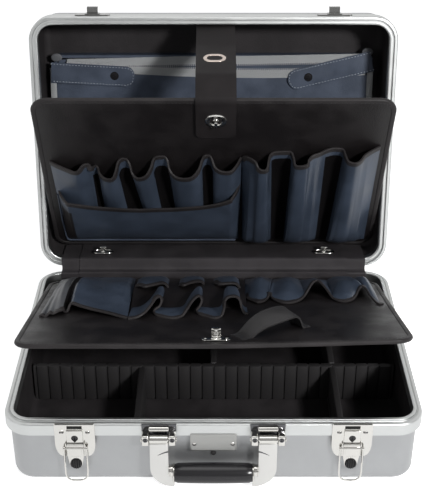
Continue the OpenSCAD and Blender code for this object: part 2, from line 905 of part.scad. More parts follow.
module lower_hinge_strip() {
    color(black) lower_pose() {
        block([-flap_w / 2, -strip_len + board_t / 2 + 0.7, -1], [flap_w / 2, 1, 1]);
        rod(-flap_w / 2, flap_w / 2, 0, 0, 1.2);
    }
}

module lower_board() color(black) lower_board_pose() board_panel(lower_len);
module lower_binding() color(black) lower_board_pose() board_binding(lower_len);

module lower_pockets() {
    a = lower_foot;
    color(slate) lower_board_pose() {
        pocket(left_pocket_x[0], left_pocket_x[1], 8, lower_deep - 2, a, left_top, true);
        for (x = omega_x)
            pocket(x - omega_w / 2, x + omega_w / 2, 8, lower_deep, a, omega_top, true);
        for (i = [0, 1, 3])
            pocket(right_seams[i] + 0.5, right_seams[i + 1] - 0.5, 8, lower_deep,
                a, right_top, true);
    }
}

loop_at = [69, 251];
loop_turn = 33;
loop_span = 80;
loop_rise = 19;
loop_w = 26;

// Strap handle on the lower board
module lift_loop() {
    half = loop_span / 2;
    flat = 12;
    pts = [[-half - flat, 1], [-half, 1], [-half + 14, loop_rise - 3], [-half + 24, loop_rise],
           [half - 24, loop_rise], [half - 14, loop_rise - 3], [half, 1], [half + flat, 1]];
    n = len(pts) - 1;
    one = [for (i = [0:n]) side_pt(pts, i, 0.9)];
    two = [for (i = [n:-1:0]) side_pt(pts, i, -0.9)];
    color(black) lower_board_pose()
        translate([loop_at[0], -loop_at[1], board_t / 2 + 0.05]) rotate([90, 0, loop_turn])
        linear_extrude(loop_w, center = true) polygon(concat(one, two));
}

lower_lock = 286;

module on_lower_board() {
    lower_board_pose() translate([strap_x, -lower_lock, board_t / 2]) children();
}

module lower_turnlock_plate() color(chrome) on_lower_board() turnlock_plate(27, 16);

// Ribbed round knob of the lower board's turn-lock
module lower_turnlock_knob() {
    color(chrome) on_lower_board() {
        translate([0, 0, 0.2]) cylinder(h = 6, r = 2);
        translate([0, 0, 3.4]) linear_extrude(10.6) union() {
            circle(5);
            for (a = [0:30:330]) rotate(a) translate([4, -0.6]) square([1.5, 1.2]);
        }
    }
}

// ---------- assembly ----------
base_shell();
base_frame();
base_lining();
slotted_wall();
divider_front_left();
divider_front_right();
divider_rear_middle();
divider_rear_right();
base_hinge_leaves();
hinge_pins();
hinge_cover();
spine_flap();
latch_plate_left();
latch_plate_right();
lock_cylinder_left();
lock_cylinder_right();
latch_lever_left();
latch_lever_right();
thumb_pad_left();
thumb_pad_right();
latch_bail_left();
latch_bail_right();
front_rivets();
handle_bracket_left();
handle_bracket_right();
handle_pins();
handle_arm_left();
handle_arm_right();
handle_grip();
grip_ferrules();
nameplate();
grip_buffer();
lid_shell();
lid_frame();
lid_lining();
lid_hinge_leaves();
catch_left();
catch_right();
document_pouch();
pouch_zip();
pouch_straps();
strap_snaps();
flap_turnlock_plates();
flap_turnlock_left();
flap_turnlock_right();
centre_strap();
upper_board();
upper_binding();
tool_loops();
long_pocket();
tall_pockets();
upper_turnlock_plate();
upper_turnlock_knob();
lower_hinge_strip();
lower_board();
lower_binding();
lower_pockets();
lift_loop();
lower_turnlock_plate();
lower_turnlock_knob();
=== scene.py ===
# %% [markdown]
# # A hard tool case with two swing-out tool boards
#
# The case stands open on its base. Every piece is drawn in millimetres in the frame of what
# carries it, then scaled to metres and put in place, so that a size in this file is the size
# on the real case. The imported CAD model gives the bodies that move, and most pieces ride on one.

import math

import bmesh
import bpy
from mathutils import Matrix, Vector, noise


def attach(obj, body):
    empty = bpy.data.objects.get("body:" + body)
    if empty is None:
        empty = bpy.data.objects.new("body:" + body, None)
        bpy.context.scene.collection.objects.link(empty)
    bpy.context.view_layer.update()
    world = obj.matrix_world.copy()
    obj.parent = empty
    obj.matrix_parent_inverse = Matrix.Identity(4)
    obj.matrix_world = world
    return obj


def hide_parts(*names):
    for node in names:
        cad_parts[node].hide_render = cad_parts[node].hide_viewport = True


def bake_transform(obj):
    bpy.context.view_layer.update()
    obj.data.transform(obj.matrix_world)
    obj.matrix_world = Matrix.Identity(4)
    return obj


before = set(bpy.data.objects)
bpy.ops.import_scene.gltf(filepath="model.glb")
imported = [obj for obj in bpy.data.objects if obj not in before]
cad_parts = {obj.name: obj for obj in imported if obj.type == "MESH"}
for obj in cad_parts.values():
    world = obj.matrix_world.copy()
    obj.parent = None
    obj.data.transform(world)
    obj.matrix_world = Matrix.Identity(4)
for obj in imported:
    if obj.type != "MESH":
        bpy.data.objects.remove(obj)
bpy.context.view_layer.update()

# %% [markdown]
# ## The four frames of the case
#
# The base is drawn as it stands. The lid is drawn with y running up it from the hinge and z
# coming out of it. Each board is drawn from its fold, with z out of its face. A real case is
# built the same way: each half is finished flat on a bench before the hinges join them.

# %% Sizes and frames
CASE_W, CASE_D, LID_H = 480, 346, 80
CORNER_R, FLOOR_R, FRAME_W = 32, 13, 11
HINGE_Y, HINGE_Z = 176.5, 90
LEAN, UP_TILT, LOW_TILT = math.radians(8), math.radians(33.5), math.radians(17.2)
BOARD_W, BOARD_T, UP_LEN, LOW_LEN = 450, 5, 300, 306.5
LATCH_X, HANDLE_X = 157, 61.5
FRONT = -CASE_D / 2

turn_x = lambda a: Matrix.Rotation(a, 4, "X")
turn_z = lambda a: Matrix.Rotation(a, 4, "Z")
shift = lambda x, y, z: Matrix.Translation((x, y, z))
BASE = Matrix.Identity(4)
LID = shift(0, HINGE_Y, HINGE_Z) @ turn_x(math.pi / 2 - LEAN)
UPPER = LID @ shift(0, 20, -45) @ turn_x(UP_TILT)
STRIP = shift(0, 157.8, 80.5) @ turn_x(-LOW_TILT)
LOWER = STRIP @ shift(0, -11, 0)
print("upper board's fold", [round(v, 1) for v in UPPER.translation])
print("lower board's fold", [round(v, 1) for v in LOWER.translation])

# %% [markdown]
# ## Rounded edges
#
# Nothing on a real case ends in a perfectly sharp edge: stampings, castings and turned parts
# all have a small radius that catches the light. A modifier could round them, but a bevel in
# the mesh lets each part choose its own radius, so every solid is closed and bevelled here.

# %% Closing and rounding
SHARP = 35


def solid(bm):
    """Closes seams and poles, and points the faces outwards."""
    bmesh.ops.remove_doubles(bm, verts=bm.verts, dist=1e-4)
    bmesh.ops.recalc_face_normals(bm, faces=bm.faces)
    return bm


def soften(bm, by, segments=2):
    """Rounds every edge whose faces turn by more than SHARP degrees."""
    limit = math.radians(SHARP)
    edges = [e for e in bm.edges if e.is_manifold and e.calc_face_angle(0) > limit]
    if edges and by:
        bmesh.ops.bevel(bm, geom=edges, offset=by, offset_type="OFFSET", segments=segments,
                        profile=0.5, affect="EDGES", clamp_overlap=True, material=-1)
    return bm


print("edges are rounded where they turn by more than", SHARP, "degrees")

# %% [markdown]
# ## Plates and blocks
#
# A stamping is punched from flat plate, so it has one outline and one thickness. Its outline
# is extruded, which keeps both easy to change. A block is a slab with four corners, and most
# plates have round ones.

# %% Slabs from outlines
def slab(points, z0, z1, by=0.3, segments=2):
    """Outline in XY, extruded from z0 to z1."""
    bm = bmesh.new()
    face = bm.faces.new([bm.verts.new((x, y, z0)) for x, y in points])
    got = bmesh.ops.extrude_face_region(bm, geom=[face])
    top = [v for v in got["geom"] if isinstance(v, bmesh.types.BMVert)]
    bmesh.ops.translate(bm, verts=top, vec=(0, 0, z1 - z0))
    return soften(solid(bm), by, segments)


def block(low, high, by=0.3, segments=2):
    (x0, y0, z0), (x1, y1, z1) = low, high
    return slab([(x0, y0), (x1, y0), (x1, y1), (x0, y1)], z0, z1, by, segments)


def rounded(w, d, r, n=6, cx=0, cy=0):
    """Outline of a rounded rectangle."""
    out = []
    for k, (sx, sy) in enumerate(((1, -1), (1, 1), (-1, 1), (-1, -1))):
        for i in range(n + 1):
            a = math.radians(-90 + 90 * k + 90 * i / n)
            out.append((cx + sx * (w / 2 - r) + r * math.cos(a),
                        cy + sy * (d / 2 - r) + r * math.sin(a)))
    return out


print("a rounded outline has", len(rounded(40, 20, 3)), "points")

# %% [markdown]
# ## Turned parts
#
# Rivets, knobs and collars come off a lathe. Half of the section is drawn as a profile of
# radius and height and spun through a full turn, as the lathe does, so that no flat shows.

# %% Spinning a profile
def spin(profile, steps=48, by=0):
    """Profile of (radius, height) turned about z."""
    bm = bmesh.new()
    verts = [bm.verts.new((r, 0, z)) for r, z in profile]
    edges = [bm.edges.new(pair) for pair in zip(verts, verts[1:])]
    bmesh.ops.spin(bm, geom=verts + edges, cent=(0, 0, 0), axis=(0, 0, 1),
                   angle=2 * math.pi, steps=steps, use_merge=True, use_duplicate=False)
    return soften(solid(bm), by)


def moved(bm, matrix):
    bmesh.ops.transform(bm, matrix=matrix, verts=bm.verts)
    return bm


pin = spin([(0, 0), (2, 0), (2, 6), (0, 6)], 24)
print("a turned pin has", len(pin.faces), "faces")
pin.free()

# %% [markdown]
# ## Sections along a path
#
# Wire, piping and frame rails keep one section all the way along. A curve with a bevel could
# give that, but not on flat-sided sections that must stay upright, so a ring of edges is
# extruded from each place on the path to the next.

# %% Sweeping a section
def smooth_path(points, steps=6):
    """Catmull-Rom curve through points."""
    p = [Vector(q) for q in points]
    p = [2 * p[0] - p[1]] + p + [2 * p[-1] - p[-2]]
    out = []
    for a, b, c, d in zip(p, p[1:], p[2:], p[3:]):
        for k in range(steps):
            t = k / steps
            out.append(0.5 * (2 * b + (c - a) * t + (2 * a - 5 * b + 4 * c - d) * t * t
                              + (3 * b - a - 3 * c + d) * t ** 3))
    return out + [p[-2]]


def loft(rings, closed=False, cap=False):
    """Skin through rings of points; its ends can be joined to each other or capped."""
    bm = bmesh.new()
    place = bm.verts.layers.int.new("place")
    verts = [bm.verts.new(p) for p in rings[0]]
    for k, v in enumerate(verts):
        v[place] = k
    first = edges = [bm.edges.new(pair) for pair in zip(verts, verts[1:] + verts[:1])]
    for ring in rings[1:] + (rings[:1] if closed else []):
        got = bmesh.ops.extrude_edge_only(bm, edges=edges)["geom"]
        new = {v for v in got if isinstance(v, bmesh.types.BMVert)}
        edges = [e for e in got if isinstance(e, bmesh.types.BMEdge) and new.issuperset(e.verts)]
        for v in new:
            v.co = ring[v[place]]
    if cap:
        bmesh.ops.edgeloop_fill(bm, edges=first + edges)
    bm.verts.layers.int.remove(place)
    return solid(bm)


def sweep(points, section, up=(0, 0, 1), closed=False):
    """Closed section of (across, up) swept along points."""
    rings, up = [], Vector(up)
    pts, n = [Vector(p) for p in points], len(points)
    for i, p in enumerate(pts):
        a = pts[i - 1] if i or closed else p
        b = pts[(i + 1) % n] if i < n - 1 or closed else p
        along = (b - a).normalized()
        side = along.cross(up).normalized()
        top = side.cross(along)
        rings.append([p + side * x + top * y for x, y in section])
    return loft(rings, closed, cap=not closed)


def circle(r, n=12, squash=1.0):
    return [(r * math.cos(2 * math.pi * k / n), squash * r * math.sin(2 * math.pi * k / n))
            for k in range(n)]


wire = sweep([(0, 0, 0), (10, 0, 0), (20, 5, 0)], circle(1))
print("a bent wire has", len(wire.faces), "faces")
wire.free()

# %% [markdown]
# ## From a mesh to a piece
#
# A real part is finished on the bench and then fitted. A mesh is finished in millimetres, then
# scaled to metres, put in its place and painted. It rides on the CAD body that carries it, so
# that it moves with that body in every pose.

# %% Fitting a piece
TO_METRES = Matrix.Diagonal((0.001, 0.001, 0.001, 1))


def joined(*parts):
    """Several solids in one mesh."""
    whole = bmesh.new()
    for part in parts:
        me = bpy.data.meshes.new("part")
        part.to_mesh(me)
        part.free()
        whole.from_mesh(me)
        bpy.data.meshes.remove(me)
    return whole


def piece(name, bm, material, body, place=BASE, replaces=(), crease=30, slot=None):
    """Scales a mesh to metres, places it, paints it and lets it ride on a CAD body.

    A slot is worked out from its finish unless another is named, an empty name meaning none;
    nothing uses it further.
    """
    me = bpy.data.meshes.new(name)
    moved(bm, TO_METRES @ place)
    bm.to_mesh(me)
    bm.free()
    ob = bpy.data.objects.new(name, me)
    bpy.context.scene.collection.objects.link(ob)
    paints = material if isinstance(material, list) else [material]
    for m in paints:
        me.materials.append(m)
    me.shade_smooth()
    me.set_sharp_from_angle(angle=math.radians(crease))
    if body:
        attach(ob, body)
    if replaces:
        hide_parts(*replaces)
    slot = SLOT_OF.get(paints[0].name) if slot is None else slot
    print(name, len(me.polygons), "faces")
    return ob


print("a millimetre is", TO_METRES[0][0], "units")

# %% [markdown]
# ## Punched holes
#
# Strike slots and keyholes are punched right through their plates. Drawing them into an
# outline would take a second outline inside the first, so a solid tool cuts them, as a punch
# does, and it leaves clean edges.

# %% Cutting with a tool
def at(place):
    """A place in mm as a matrix in metres."""
    return TO_METRES @ place


def cut(ob, *tools):
    """Cuts solids out of a piece; the tools are bmeshes in the same frame and metres."""
    for tool in tools:
        me = bpy.data.meshes.new("tool")
        tool.to_mesh(me)
        tool.free()
        cutter = bpy.data.objects.new("tool", me)
        bpy.context.scene.collection.objects.link(cutter)
        mod = ob.modifiers.new("cut", "BOOLEAN")
        mod.operation, mod.solver, mod.object = "DIFFERENCE", "EXACT", cutter
        done = bpy.data.meshes.new_from_object(
            ob.evaluated_get(bpy.context.evaluated_depsgraph_get()))
        ob.modifiers.clear()
        old, ob.data = ob.data, done
        bpy.data.meshes.remove(old)
        bpy.data.objects.remove(cutter)
        bpy.data.meshes.remove(me)
    print(ob.name, "cut by", len(tools))


print("a tool 10 mm along x starts at", round(at(shift(10, 0, 0)).translation.x, 3), "m")

# %% [markdown]
# ## Following the case's outline
#
# Shells, frames, linings and bindings all follow one rounded rectangle at different insets.
# A real frame is one extrusion bent round four corners, so its section is drawn once as
# points of (inset, height) and carried round the outline.

# %% A section round the case
def outline_loop(inset, cx, cy, w, d, r, n=10):
    r = max(r - inset, 2.5)
    return rounded(w - 2 * inset, d - 2 * inset, r, n, cx, cy)


def around(section, closed, cap=False, cx=0, cy=0, w=CASE_W, d=CASE_D, r=CORNER_R, n=10):
    """Section of (inset, z) carried round the outline."""
    return loft([[(x, y, z) for x, y in outline_loop(inset, cx, cy, w, d, r, n)]
                 for inset, z in section], closed, cap)


def arc(cx, cz, r, a0, a1, n=6):
    """Points of an arc in a section, angles in degrees."""
    return [(cx + r * math.cos(math.radians(a0 + (a1 - a0) * k / n)),
             cz + r * math.sin(math.radians(a0 + (a1 - a0) * k / n))) for k in range(n + 1)]


print("the case's outline has", len(outline_loop(0, 0, 0, CASE_W, CASE_D, CORNER_R)), "points")

# %% [markdown]
# ## Shared surface effects
#
# Real leathercloth is embossed by a roller, so its grain is one pattern in every piece. Drawn
# metal shows fine lines, and everything handled shows faint smears. Each effect is one node
# group that gives a height or a mask, and the materials below decide what to do with it.

# %% Node tools
def group(name, inputs, outputs):
    """New node group with float sockets; gives (tree, input node, output node)."""
    tree = bpy.data.node_groups.new(name, "ShaderNodeTree")
    for label, value in inputs.items():
        s = tree.interface.new_socket(label, in_out="INPUT", socket_type="NodeSocketFloat")
        s.default_value = value
    for label in outputs:
        tree.interface.new_socket(label, in_out="OUTPUT", socket_type="NodeSocketFloat")
    return tree, tree.nodes.new("NodeGroupInput"), tree.nodes.new("NodeGroupOutput")


def texture(tree, kind, scale, coords, **facts):
    """Noise, Voronoi or wave texture on these coordinates."""
    t = tree.nodes.new(kind)
    tree.links.new(coords, t.inputs["Vector"])
    for k, v in facts.items():
        if k in t.inputs:
            t.inputs[k].default_value = v
        else:
            setattr(t, k, v)
    if hasattr(scale, "links"):
        tree.links.new(scale, t.inputs["Scale"])
    else:
        t.inputs["Scale"].default_value = scale
    return t


def maths(tree, what, a, b=0.5, c=None):
    m = tree.nodes.new("ShaderNodeMath")
    m.operation = what
    for k, v in enumerate((a, b, c)):
        if v is None:
            continue
        if hasattr(v, "links"):
            tree.links.new(v, m.inputs[k])
        else:
            m.inputs[k].default_value = v
    return m.outputs[0]


def ramp(tree, value, low, high):
    """0 below low, 1 above high, smooth between."""
    m = tree.nodes.new("ShaderNodeMapRange")
    m.interpolation_type = "SMOOTHSTEP"
    m.inputs["From Min"].default_value, m.inputs["From Max"].default_value = low, high
    tree.links.new(value, m.inputs["Value"])
    return m.outputs["Result"]


def coordinates(tree, stretch=(1, 1, 1)):
    c = tree.nodes.new("ShaderNodeTexCoord")
    if stretch == (1, 1, 1):
        return c.outputs["Object"]
    m = tree.nodes.new("ShaderNodeMapping")
    m.inputs["Scale"].default_value = stretch
    tree.links.new(c.outputs["Object"], m.inputs["Vector"])
    return m.outputs["Vector"]


print("node groups before the effects:", len(bpy.data.node_groups))

# %% [markdown]
# ## Grain, drawn lines, weave and pebble
#
# Leathercloth, drawn metal, tape and the shell's skin each repeat one fine pattern. Tiles
# of it could be wrapped round the pieces, but noise made in the nodes has no seams and needs
# no unwrapping, and one group serves every material of its kind.

# %% The four effects
def make_grain():
    """Embossed leather grain: pebbles with creases between, and a slow unevenness."""
    tree, give, take = group("leather_grain", {"Scale": 700.0}, ["Height", "Patches"])
    at_ = coordinates(tree)
    cells = texture(tree, "ShaderNodeTexVoronoi", give.outputs["Scale"], at_,
                    feature="SMOOTH_F1", Smoothness=0.35, Randomness=1.0)
    fine = texture(tree, "ShaderNodeTexNoise", 2600.0, at_, Detail=2.0)
    slow = texture(tree, "ShaderNodeTexNoise", 26.0, at_, Detail=3.0, Roughness=0.55)
    pebble = maths(tree, "SUBTRACT", 1.0, cells.outputs["Distance"])
    both = maths(tree, "MULTIPLY_ADD", fine.outputs["Fac"], 0.25, pebble)
    tree.links.new(both, take.inputs["Height"])
    tree.links.new(ramp(tree, slow.outputs["Fac"], 0.35, 0.68), take.inputs["Patches"])
    return tree


def make_drawn():
    """Fine lines of drawn or brushed metal along X, with faint smears."""
    tree, give, take = group("drawn_metal", {"Fineness": 1.0}, ["Lines", "Smears"])
    at_ = coordinates(tree, (14.0, 900.0, 900.0))
    lines = texture(tree, "ShaderNodeTexNoise", give.outputs["Fineness"], at_,
                    Detail=3.0, Roughness=0.6)
    smear = texture(tree, "ShaderNodeTexNoise", 34.0, coordinates(tree), Detail=4.0,
                    Roughness=0.6, Distortion=0.8)
    tree.links.new(lines.outputs["Fac"], take.inputs["Lines"])
    tree.links.new(ramp(tree, smear.outputs["Fac"], 0.42, 0.72), take.inputs["Smears"])
    return tree


def make_weave():
    """Plain weave of a narrow tape."""
    tree, give, take = group("tape_weave", {"Scale": 900.0}, ["Height"])
    at_ = coordinates(tree)
    parts = []
    for way in ("X", "Y", "Z"):
        w = texture(tree, "ShaderNodeTexWave", give.outputs["Scale"], at_,
                    wave_type="BANDS", bands_direction=way)
        parts.append(w.outputs["Fac"])
    total = maths(tree, "ADD", maths(tree, "ADD", parts[0], parts[1]), parts[2])
    tree.links.new(total, take.inputs["Height"])
    return tree


def make_pebble():
    """Fine pebbled skin of a moulded or laminated shell."""
    tree, give, take = group("pebbled_skin", {"Scale": 1100.0}, ["Height", "Cloud"])
    at_ = coordinates(tree)
    cells = texture(tree, "ShaderNodeTexVoronoi", give.outputs["Scale"], at_,
                    feature="SMOOTH_F1", Smoothness=0.5, Randomness=1.0)
    cloud = texture(tree, "ShaderNodeTexNoise", 16.0, at_, Detail=4.0, Roughness=0.6)
    tree.links.new(maths(tree, "SUBTRACT", 1.0, cells.outputs["Distance"]),
                   take.inputs["Height"])
    tree.links.new(ramp(tree, cloud.outputs["Fac"], 0.3, 0.7), take.inputs["Cloud"])
    return tree


GRAIN, DRAWN, WEAVE, PEBBLE = make_grain(), make_drawn(), make_weave(), make_pebble()
print("effects", [g.name for g in (GRAIN, DRAWN, WEAVE, PEBBLE)])

# %% [markdown]
# ## Materials
#
# Every finish is one Principled shader with its constants on the shader's own sockets. Grain
# and lines reach it through a bump, and patches shift its roughness and its colour a little,
# because a real surface is never quite even.

# %% A plain material
def material(name, colour, rough, metal=0.0, **more):
    """New material; gives (material, tree, Principled shader)."""
    m = bpy.data.materials.new(name)
    m.use_nodes = True
    tree = m.node_tree
    shader = tree.nodes["Principled BSDF"]
    shader.inputs["Base Color"].default_value = (*colour, 1)
    shader.inputs["Roughness"].default_value = rough
    shader.inputs["Metallic"].default_value = metal
    for k, v in more.items():
        shader.inputs[k.replace("_", " ")].default_value = v
    m.diffuse_color = (*colour, 1)
    return m, tree, shader


def use(tree, effect, **values):
    g = tree.nodes.new("ShaderNodeGroup")
    g.node_tree = effect
    for k, v in values.items():
        g.inputs[k].default_value = v
    return g.outputs


def bumped(tree, shader, height, deep, strength=1.0):
    b = tree.nodes.new("ShaderNodeBump")
    b.inputs["Distance"].default_value = deep
    b.inputs["Strength"].default_value = strength
    tree.links.new(height, b.inputs["Height"])
    tree.links.new(b.outputs["Normal"], shader.inputs["Normal"])


def between(tree, mask, socket, a, b):
    """Mixes a number or colour by a mask into a shader's socket."""
    m = tree.nodes.new("ShaderNodeMix")
    if isinstance(a, tuple):
        m.data_type = "RGBA"
        m.inputs[6].default_value, m.inputs[7].default_value = (*a, 1), (*b, 1)
        out = m.outputs[2]
    else:
        m.inputs[2].default_value, m.inputs[3].default_value = a, b
        out = m.outputs[0]
    tree.links.new(mask, m.inputs[0])
    tree.links.new(out, socket)


print("materials so far", len(bpy.data.materials))

# %% [markdown]
# ## Leather, metal, paint and tape
#
# Four kinds of surface cover the whole case, and pieces of one kind differ only in colour and
# shine. Each kind is one function that joins its effect to a plain material, so that every
# leather has the same grain, as cloths from one roller do.

# %% Kinds of surface
def leather(name, colour, rough, scale=700.0, deep=0.00012, lift=1.35, shine=0.12):
    m, tree, s = material(name, colour, rough)
    s.inputs["Specular IOR Level"].default_value = shine
    g = use(tree, GRAIN, Scale=scale)
    bumped(tree, s, g["Height"], deep)
    between(tree, g["Patches"], s.inputs["Roughness"], rough - 0.05, rough + 0.09)
    between(tree, g["Patches"], s.inputs["Base Color"], colour,
            tuple(min(1.0, c * lift) for c in colour))
    return m


def metal(name, colour, rough, lines=0.0, smear=0.07, **more):
    m, tree, s = material(name, colour, rough, 1.0, **more)
    g = use(tree, DRAWN)
    if lines:
        bumped(tree, s, g["Lines"], lines)
    between(tree, g["Smears"], s.inputs["Roughness"], rough, rough + smear)
    return m


def shell_paint():
    m, tree, s = material("shell_silver", (0.355, 0.36, 0.366), 0.40, 0.75)
    g = use(tree, PEBBLE)
    bumped(tree, s, g["Height"], 0.00005)
    between(tree, g["Cloud"], s.inputs["Roughness"], 0.30, 0.40)
    between(tree, g["Cloud"], s.inputs["Base Color"], (0.335, 0.34, 0.346), (0.365, 0.37, 0.376))
    return m


def tape(name, colour):
    m, tree, s = material(name, colour, 0.85)
    g = use(tree, WEAVE)
    bumped(tree, s, g["Height"], 0.00015)
    return m


print("kinds", [kind.__name__ for kind in (leather, metal, shell_paint, tape)])

# %% [markdown]
# ## The finishes of this case
#
# The hardware is nickel plated or bare satin metal, the lining and the boards are black cloths
# of different age, and the pockets are a bluish slate. Blacks that touch are kept a little
# apart in tone and shine, because that is how one real black piece reads against the next.

# %% Finishes by name
SHELL = shell_paint()
SATIN = metal("satin_aluminium", (0.535, 0.545, 0.540), 0.36, 0.00001)
NICKEL = metal("bright_nickel", (0.575, 0.565, 0.54), 0.15, 0.0, 0.06)
COPPER = metal("warm_nickel", (0.58, 0.50, 0.45), 0.18, 0.0, 0.06)
STEEL = metal("satin_steel", (0.56, 0.555, 0.54), 0.28, 0.00001)
DARK_METAL = metal("dark_chrome", (0.10, 0.10, 0.105), 0.16)
CATCH = metal("catch_nickel", (0.24, 0.24, 0.235), 0.2)
PLATE = metal("plate_aluminium", (0.34, 0.34, 0.33), 0.38, 0.00003)
LINING = leather("lining_black", (0.0245, 0.0222, 0.0232), 0.6, 520.0)
BOARD = leather("board_black", (0.0086, 0.0073, 0.0076), 0.40, 640.0, shine=0.25)
BINDING = leather("binding_black", (0.0195, 0.0175, 0.018), 0.48, 900.0, 0.00008, shine=0.2)
STRAP = leather("centre_strap_black", (0.0125, 0.0108, 0.0112), 0.5, 900.0, 0.00008, shine=0.12)
FLAP = leather("flap_black", (0.034, 0.031, 0.033), 0.55, 560.0)
LIFT = leather("strap_black", (0.027, 0.026, 0.0265), 0.38, 640.0, shine=0.3)
# A lighter grey: painted sheen on the wide pocket's pleated side, and the plain grey of the strap
# tabs.
GREY_AND_SHEEN = leather("grey_tabs_and_gusset_sheen", (0.075, 0.077, 0.083), 0.42, 620.0, shine=0.3)
# A near-black laid in the pockets' deep valleys and folds: painted shade.
PAINTED_SHADE = leather("seam_black", (0.005, 0.0045, 0.0048), 0.7, 640.0, shine=0.03)
SLATE = leather("slate_leather", (0.036, 0.047, 0.068), 0.33, 620.0, 0.0001, shine=0.35)
POUCH = leather("pouch_leather", (0.047, 0.058, 0.082), 0.42, 620.0, 0.0001, shine=0.25)
TAPE = tape("zip_tape", (0.42, 0.43, 0.435))
TEETH = material("zip_teeth", (0.42, 0.42, 0.43), 0.35)[0]
THREAD = material("pale_thread", (0.36, 0.39, 0.43), 0.8)[0]
DARK_THREAD = material("black_thread", (0.02, 0.02, 0.022), 0.7)[0]
PLASTIC = material("black_plastic", (0.012, 0.0115, 0.013), 0.24)[0]
PLASTIC.node_tree.nodes["Principled BSDF"].inputs["Specular IOR Level"].default_value = 0.4
MATT = material("matt_black", (0.0165, 0.0152, 0.0158), 0.6)[0]
RIBBED = leather("ribbed_rubber", (0.016, 0.0155, 0.0165), 0.35, 500.0, 0.00002, shine=0.3)
HOLE = material("dark_hole", (0.003, 0.003, 0.003), 0.9)[0]
SLOTS = {"shell": [SHELL], "frame": [SATIN], "plated_steel": [NICKEL, COPPER, DARK_METAL],
         "brushed": [STEEL, PLATE], "lining": [LINING], "slate_leather": [SLATE, BINDING],
         "board_leather": [BOARD, STRAP, FLAP, LIFT, DARK_THREAD], "divider": [MATT],
         "pouch_leather": [POUCH, THREAD], "tape": [TAPE, TEETH, GREY_AND_SHEEN],
         "black_plastic": [PLASTIC, RIBBED]}
SLOT_OF = {m.name: slot for slot, paints in SLOTS.items() for m in paints}
print(len(bpy.data.materials), "materials in", len(SLOTS), "slots")

# %% [markdown]
# ## Base shell and lid shell
#
# Each half is a deep-drawn tray: round floor edges, round upright corners and nearly upright
# walls. A real tray is pressed in one go, so inside and outside are drawn as one skin, from
# the floor up the outside, over the rim and down the inside.

# %% Trays
def tray_section(height, wall=2.5, inset=5.0, draft=1.0):
    """Section of a tray from the middle of its floor to its rim and back inside."""
    lean = lambda z: inset + draft * (1 - z / height)
    outer = [(inset + draft + FLOOR_R + 4, 0)]
    outer += [(x + draft, z) for x, z in arc(inset + FLOOR_R, FLOOR_R, FLOOR_R, -90, -180, 8)]
    outer = [(x if z < FLOOR_R else lean(z), z) for x, z in outer]
    rim = [(lean(height), height - 0.4), (lean(height) + 0.4, height),
           (lean(height) + wall, height)]
    r = FLOOR_R - wall
    inner = arc(inset + draft + wall + r, wall + r, r, -180, -90, 8)
    return outer + rim + inner + [(inset + draft + FLOOR_R + 4, wall)]


base_shell = piece("base_shell_skin", around(tray_section(85.8), False, cap=True), SHELL,
                   "base", BASE, ["base_shell"])
flip = LID @ shift(0, HINGE_Y, -LID_H)
lid_shell = piece("lid_shell_skin", around(tray_section(77.4), False, cap=True), SHELL,
                  "lid", flip, ["lid_shell"])
print("shells", len(base_shell.data.vertices), len(lid_shell.data.vertices))

# %% [markdown]
# ## Aluminium frames
#
# One extrusion with an outer flange that stands 5 mm proud of the shell, a groove for the
# other frame's edge, and a raised lip. The lid's section is the counterpart of the base's, so
# that the two close into each other and keep rain out.

# %% Frame rails
def base_frame_section():
    s = [(0.5, 72), (0, 72.5), (0, 80), (0, 85.4)]
    s += arc(2.7, 85.4, 2.7, 180, 100, 5)[1:]
    s += [(4.5, 87.9), (5.0, 87.2), (5.9, 87.1), (6.4, 87.6)]
    s += [(6.5, 89.2)] + arc(7.4, 89.1, 0.9, 170, 90, 4)[1:]
    s += arc(10.1, 89.1, 0.9, 90, 0, 4) + [(11, 84), (11, 78.4), (10.6, 78), (8.9, 78)]
    s += [(8.5, 78.4), (8.5, 86), (4.7, 86), (4.7, 72.3), (4.4, 72)]
    return s


def lid_frame_section():
    """(inset, height out of the lid); the lid's inside is below 0."""
    s = [(0.5, -18), (0, -17.5), (0, -8), (0, -0.6)]
    s += arc(2.1, -0.5, 2.1, 180, 100, 5)[1:]
    s += [(4.2, 1.55), (4.7, 1.0), (4.8, -0.3), (5.4, -0.5), (7.2, -0.4), (8.0, -0.3)]
    s += [(8.6, -0.2), (10.5, -0.4), (11, -0.9), (11, -7), (11, -11.6), (10.6, -12)]
    s += [(8.9, -12), (8.5, -11.6), (8.5, -2.4), (4.7, -2.4), (4.7, -17.6), (4.4, -18)]
    return s


base_frame = piece("base_frame_rail", around(base_frame_section(), True, n=14), SATIN, "base",
                   BASE, ["base_frame"], crease=40)
lid_frame = piece("lid_frame_rail",
                  around(lid_frame_section(), True, cy=HINGE_Y, n=14), SATIN, "lid",
                  LID, ["lid_frame"], crease=40)
print("frames", len(base_frame.data.vertices), len(lid_frame.data.vertices))

# %% [markdown]
# ## Black lining
#
# Leathercloth on thin board, glued in before the frames are riveted on. It follows the tray at
# a small gap and ends under the frame's inner leg, where its raw edge can't be seen.

# %% Linings
def lining_section(height, inset=7.9, t=1.3, r=10.5):
    outer = [(inset + r + 6, 0)] + arc(inset + r, r, r, -90, -180, 7)
    outer += [(inset, height - 0.3), (inset + 0.3, height), (inset + t, height)]
    return outer + arc(inset + r, r, r - t, -180, -90, 7) + [(inset + r + 6, t)]


OFF_FLOOR, BASE_LINING_H, LID_LINING_H = 2.6, 75.1, 65.1
piece("base_lining_skin", around(lining_section(BASE_LINING_H), False, cap=True), LINING,
      "base", shift(0, 0, OFF_FLOOR), ["base_lining"])
piece("lid_lining_skin", around(lining_section(LID_LINING_H), False, cap=True), LINING,
      "lid", flip @ shift(0, 0, OFF_FLOOR), ["lid_lining"])
print("linings", BASE_LINING_H, "and", LID_LINING_H, "mm high")

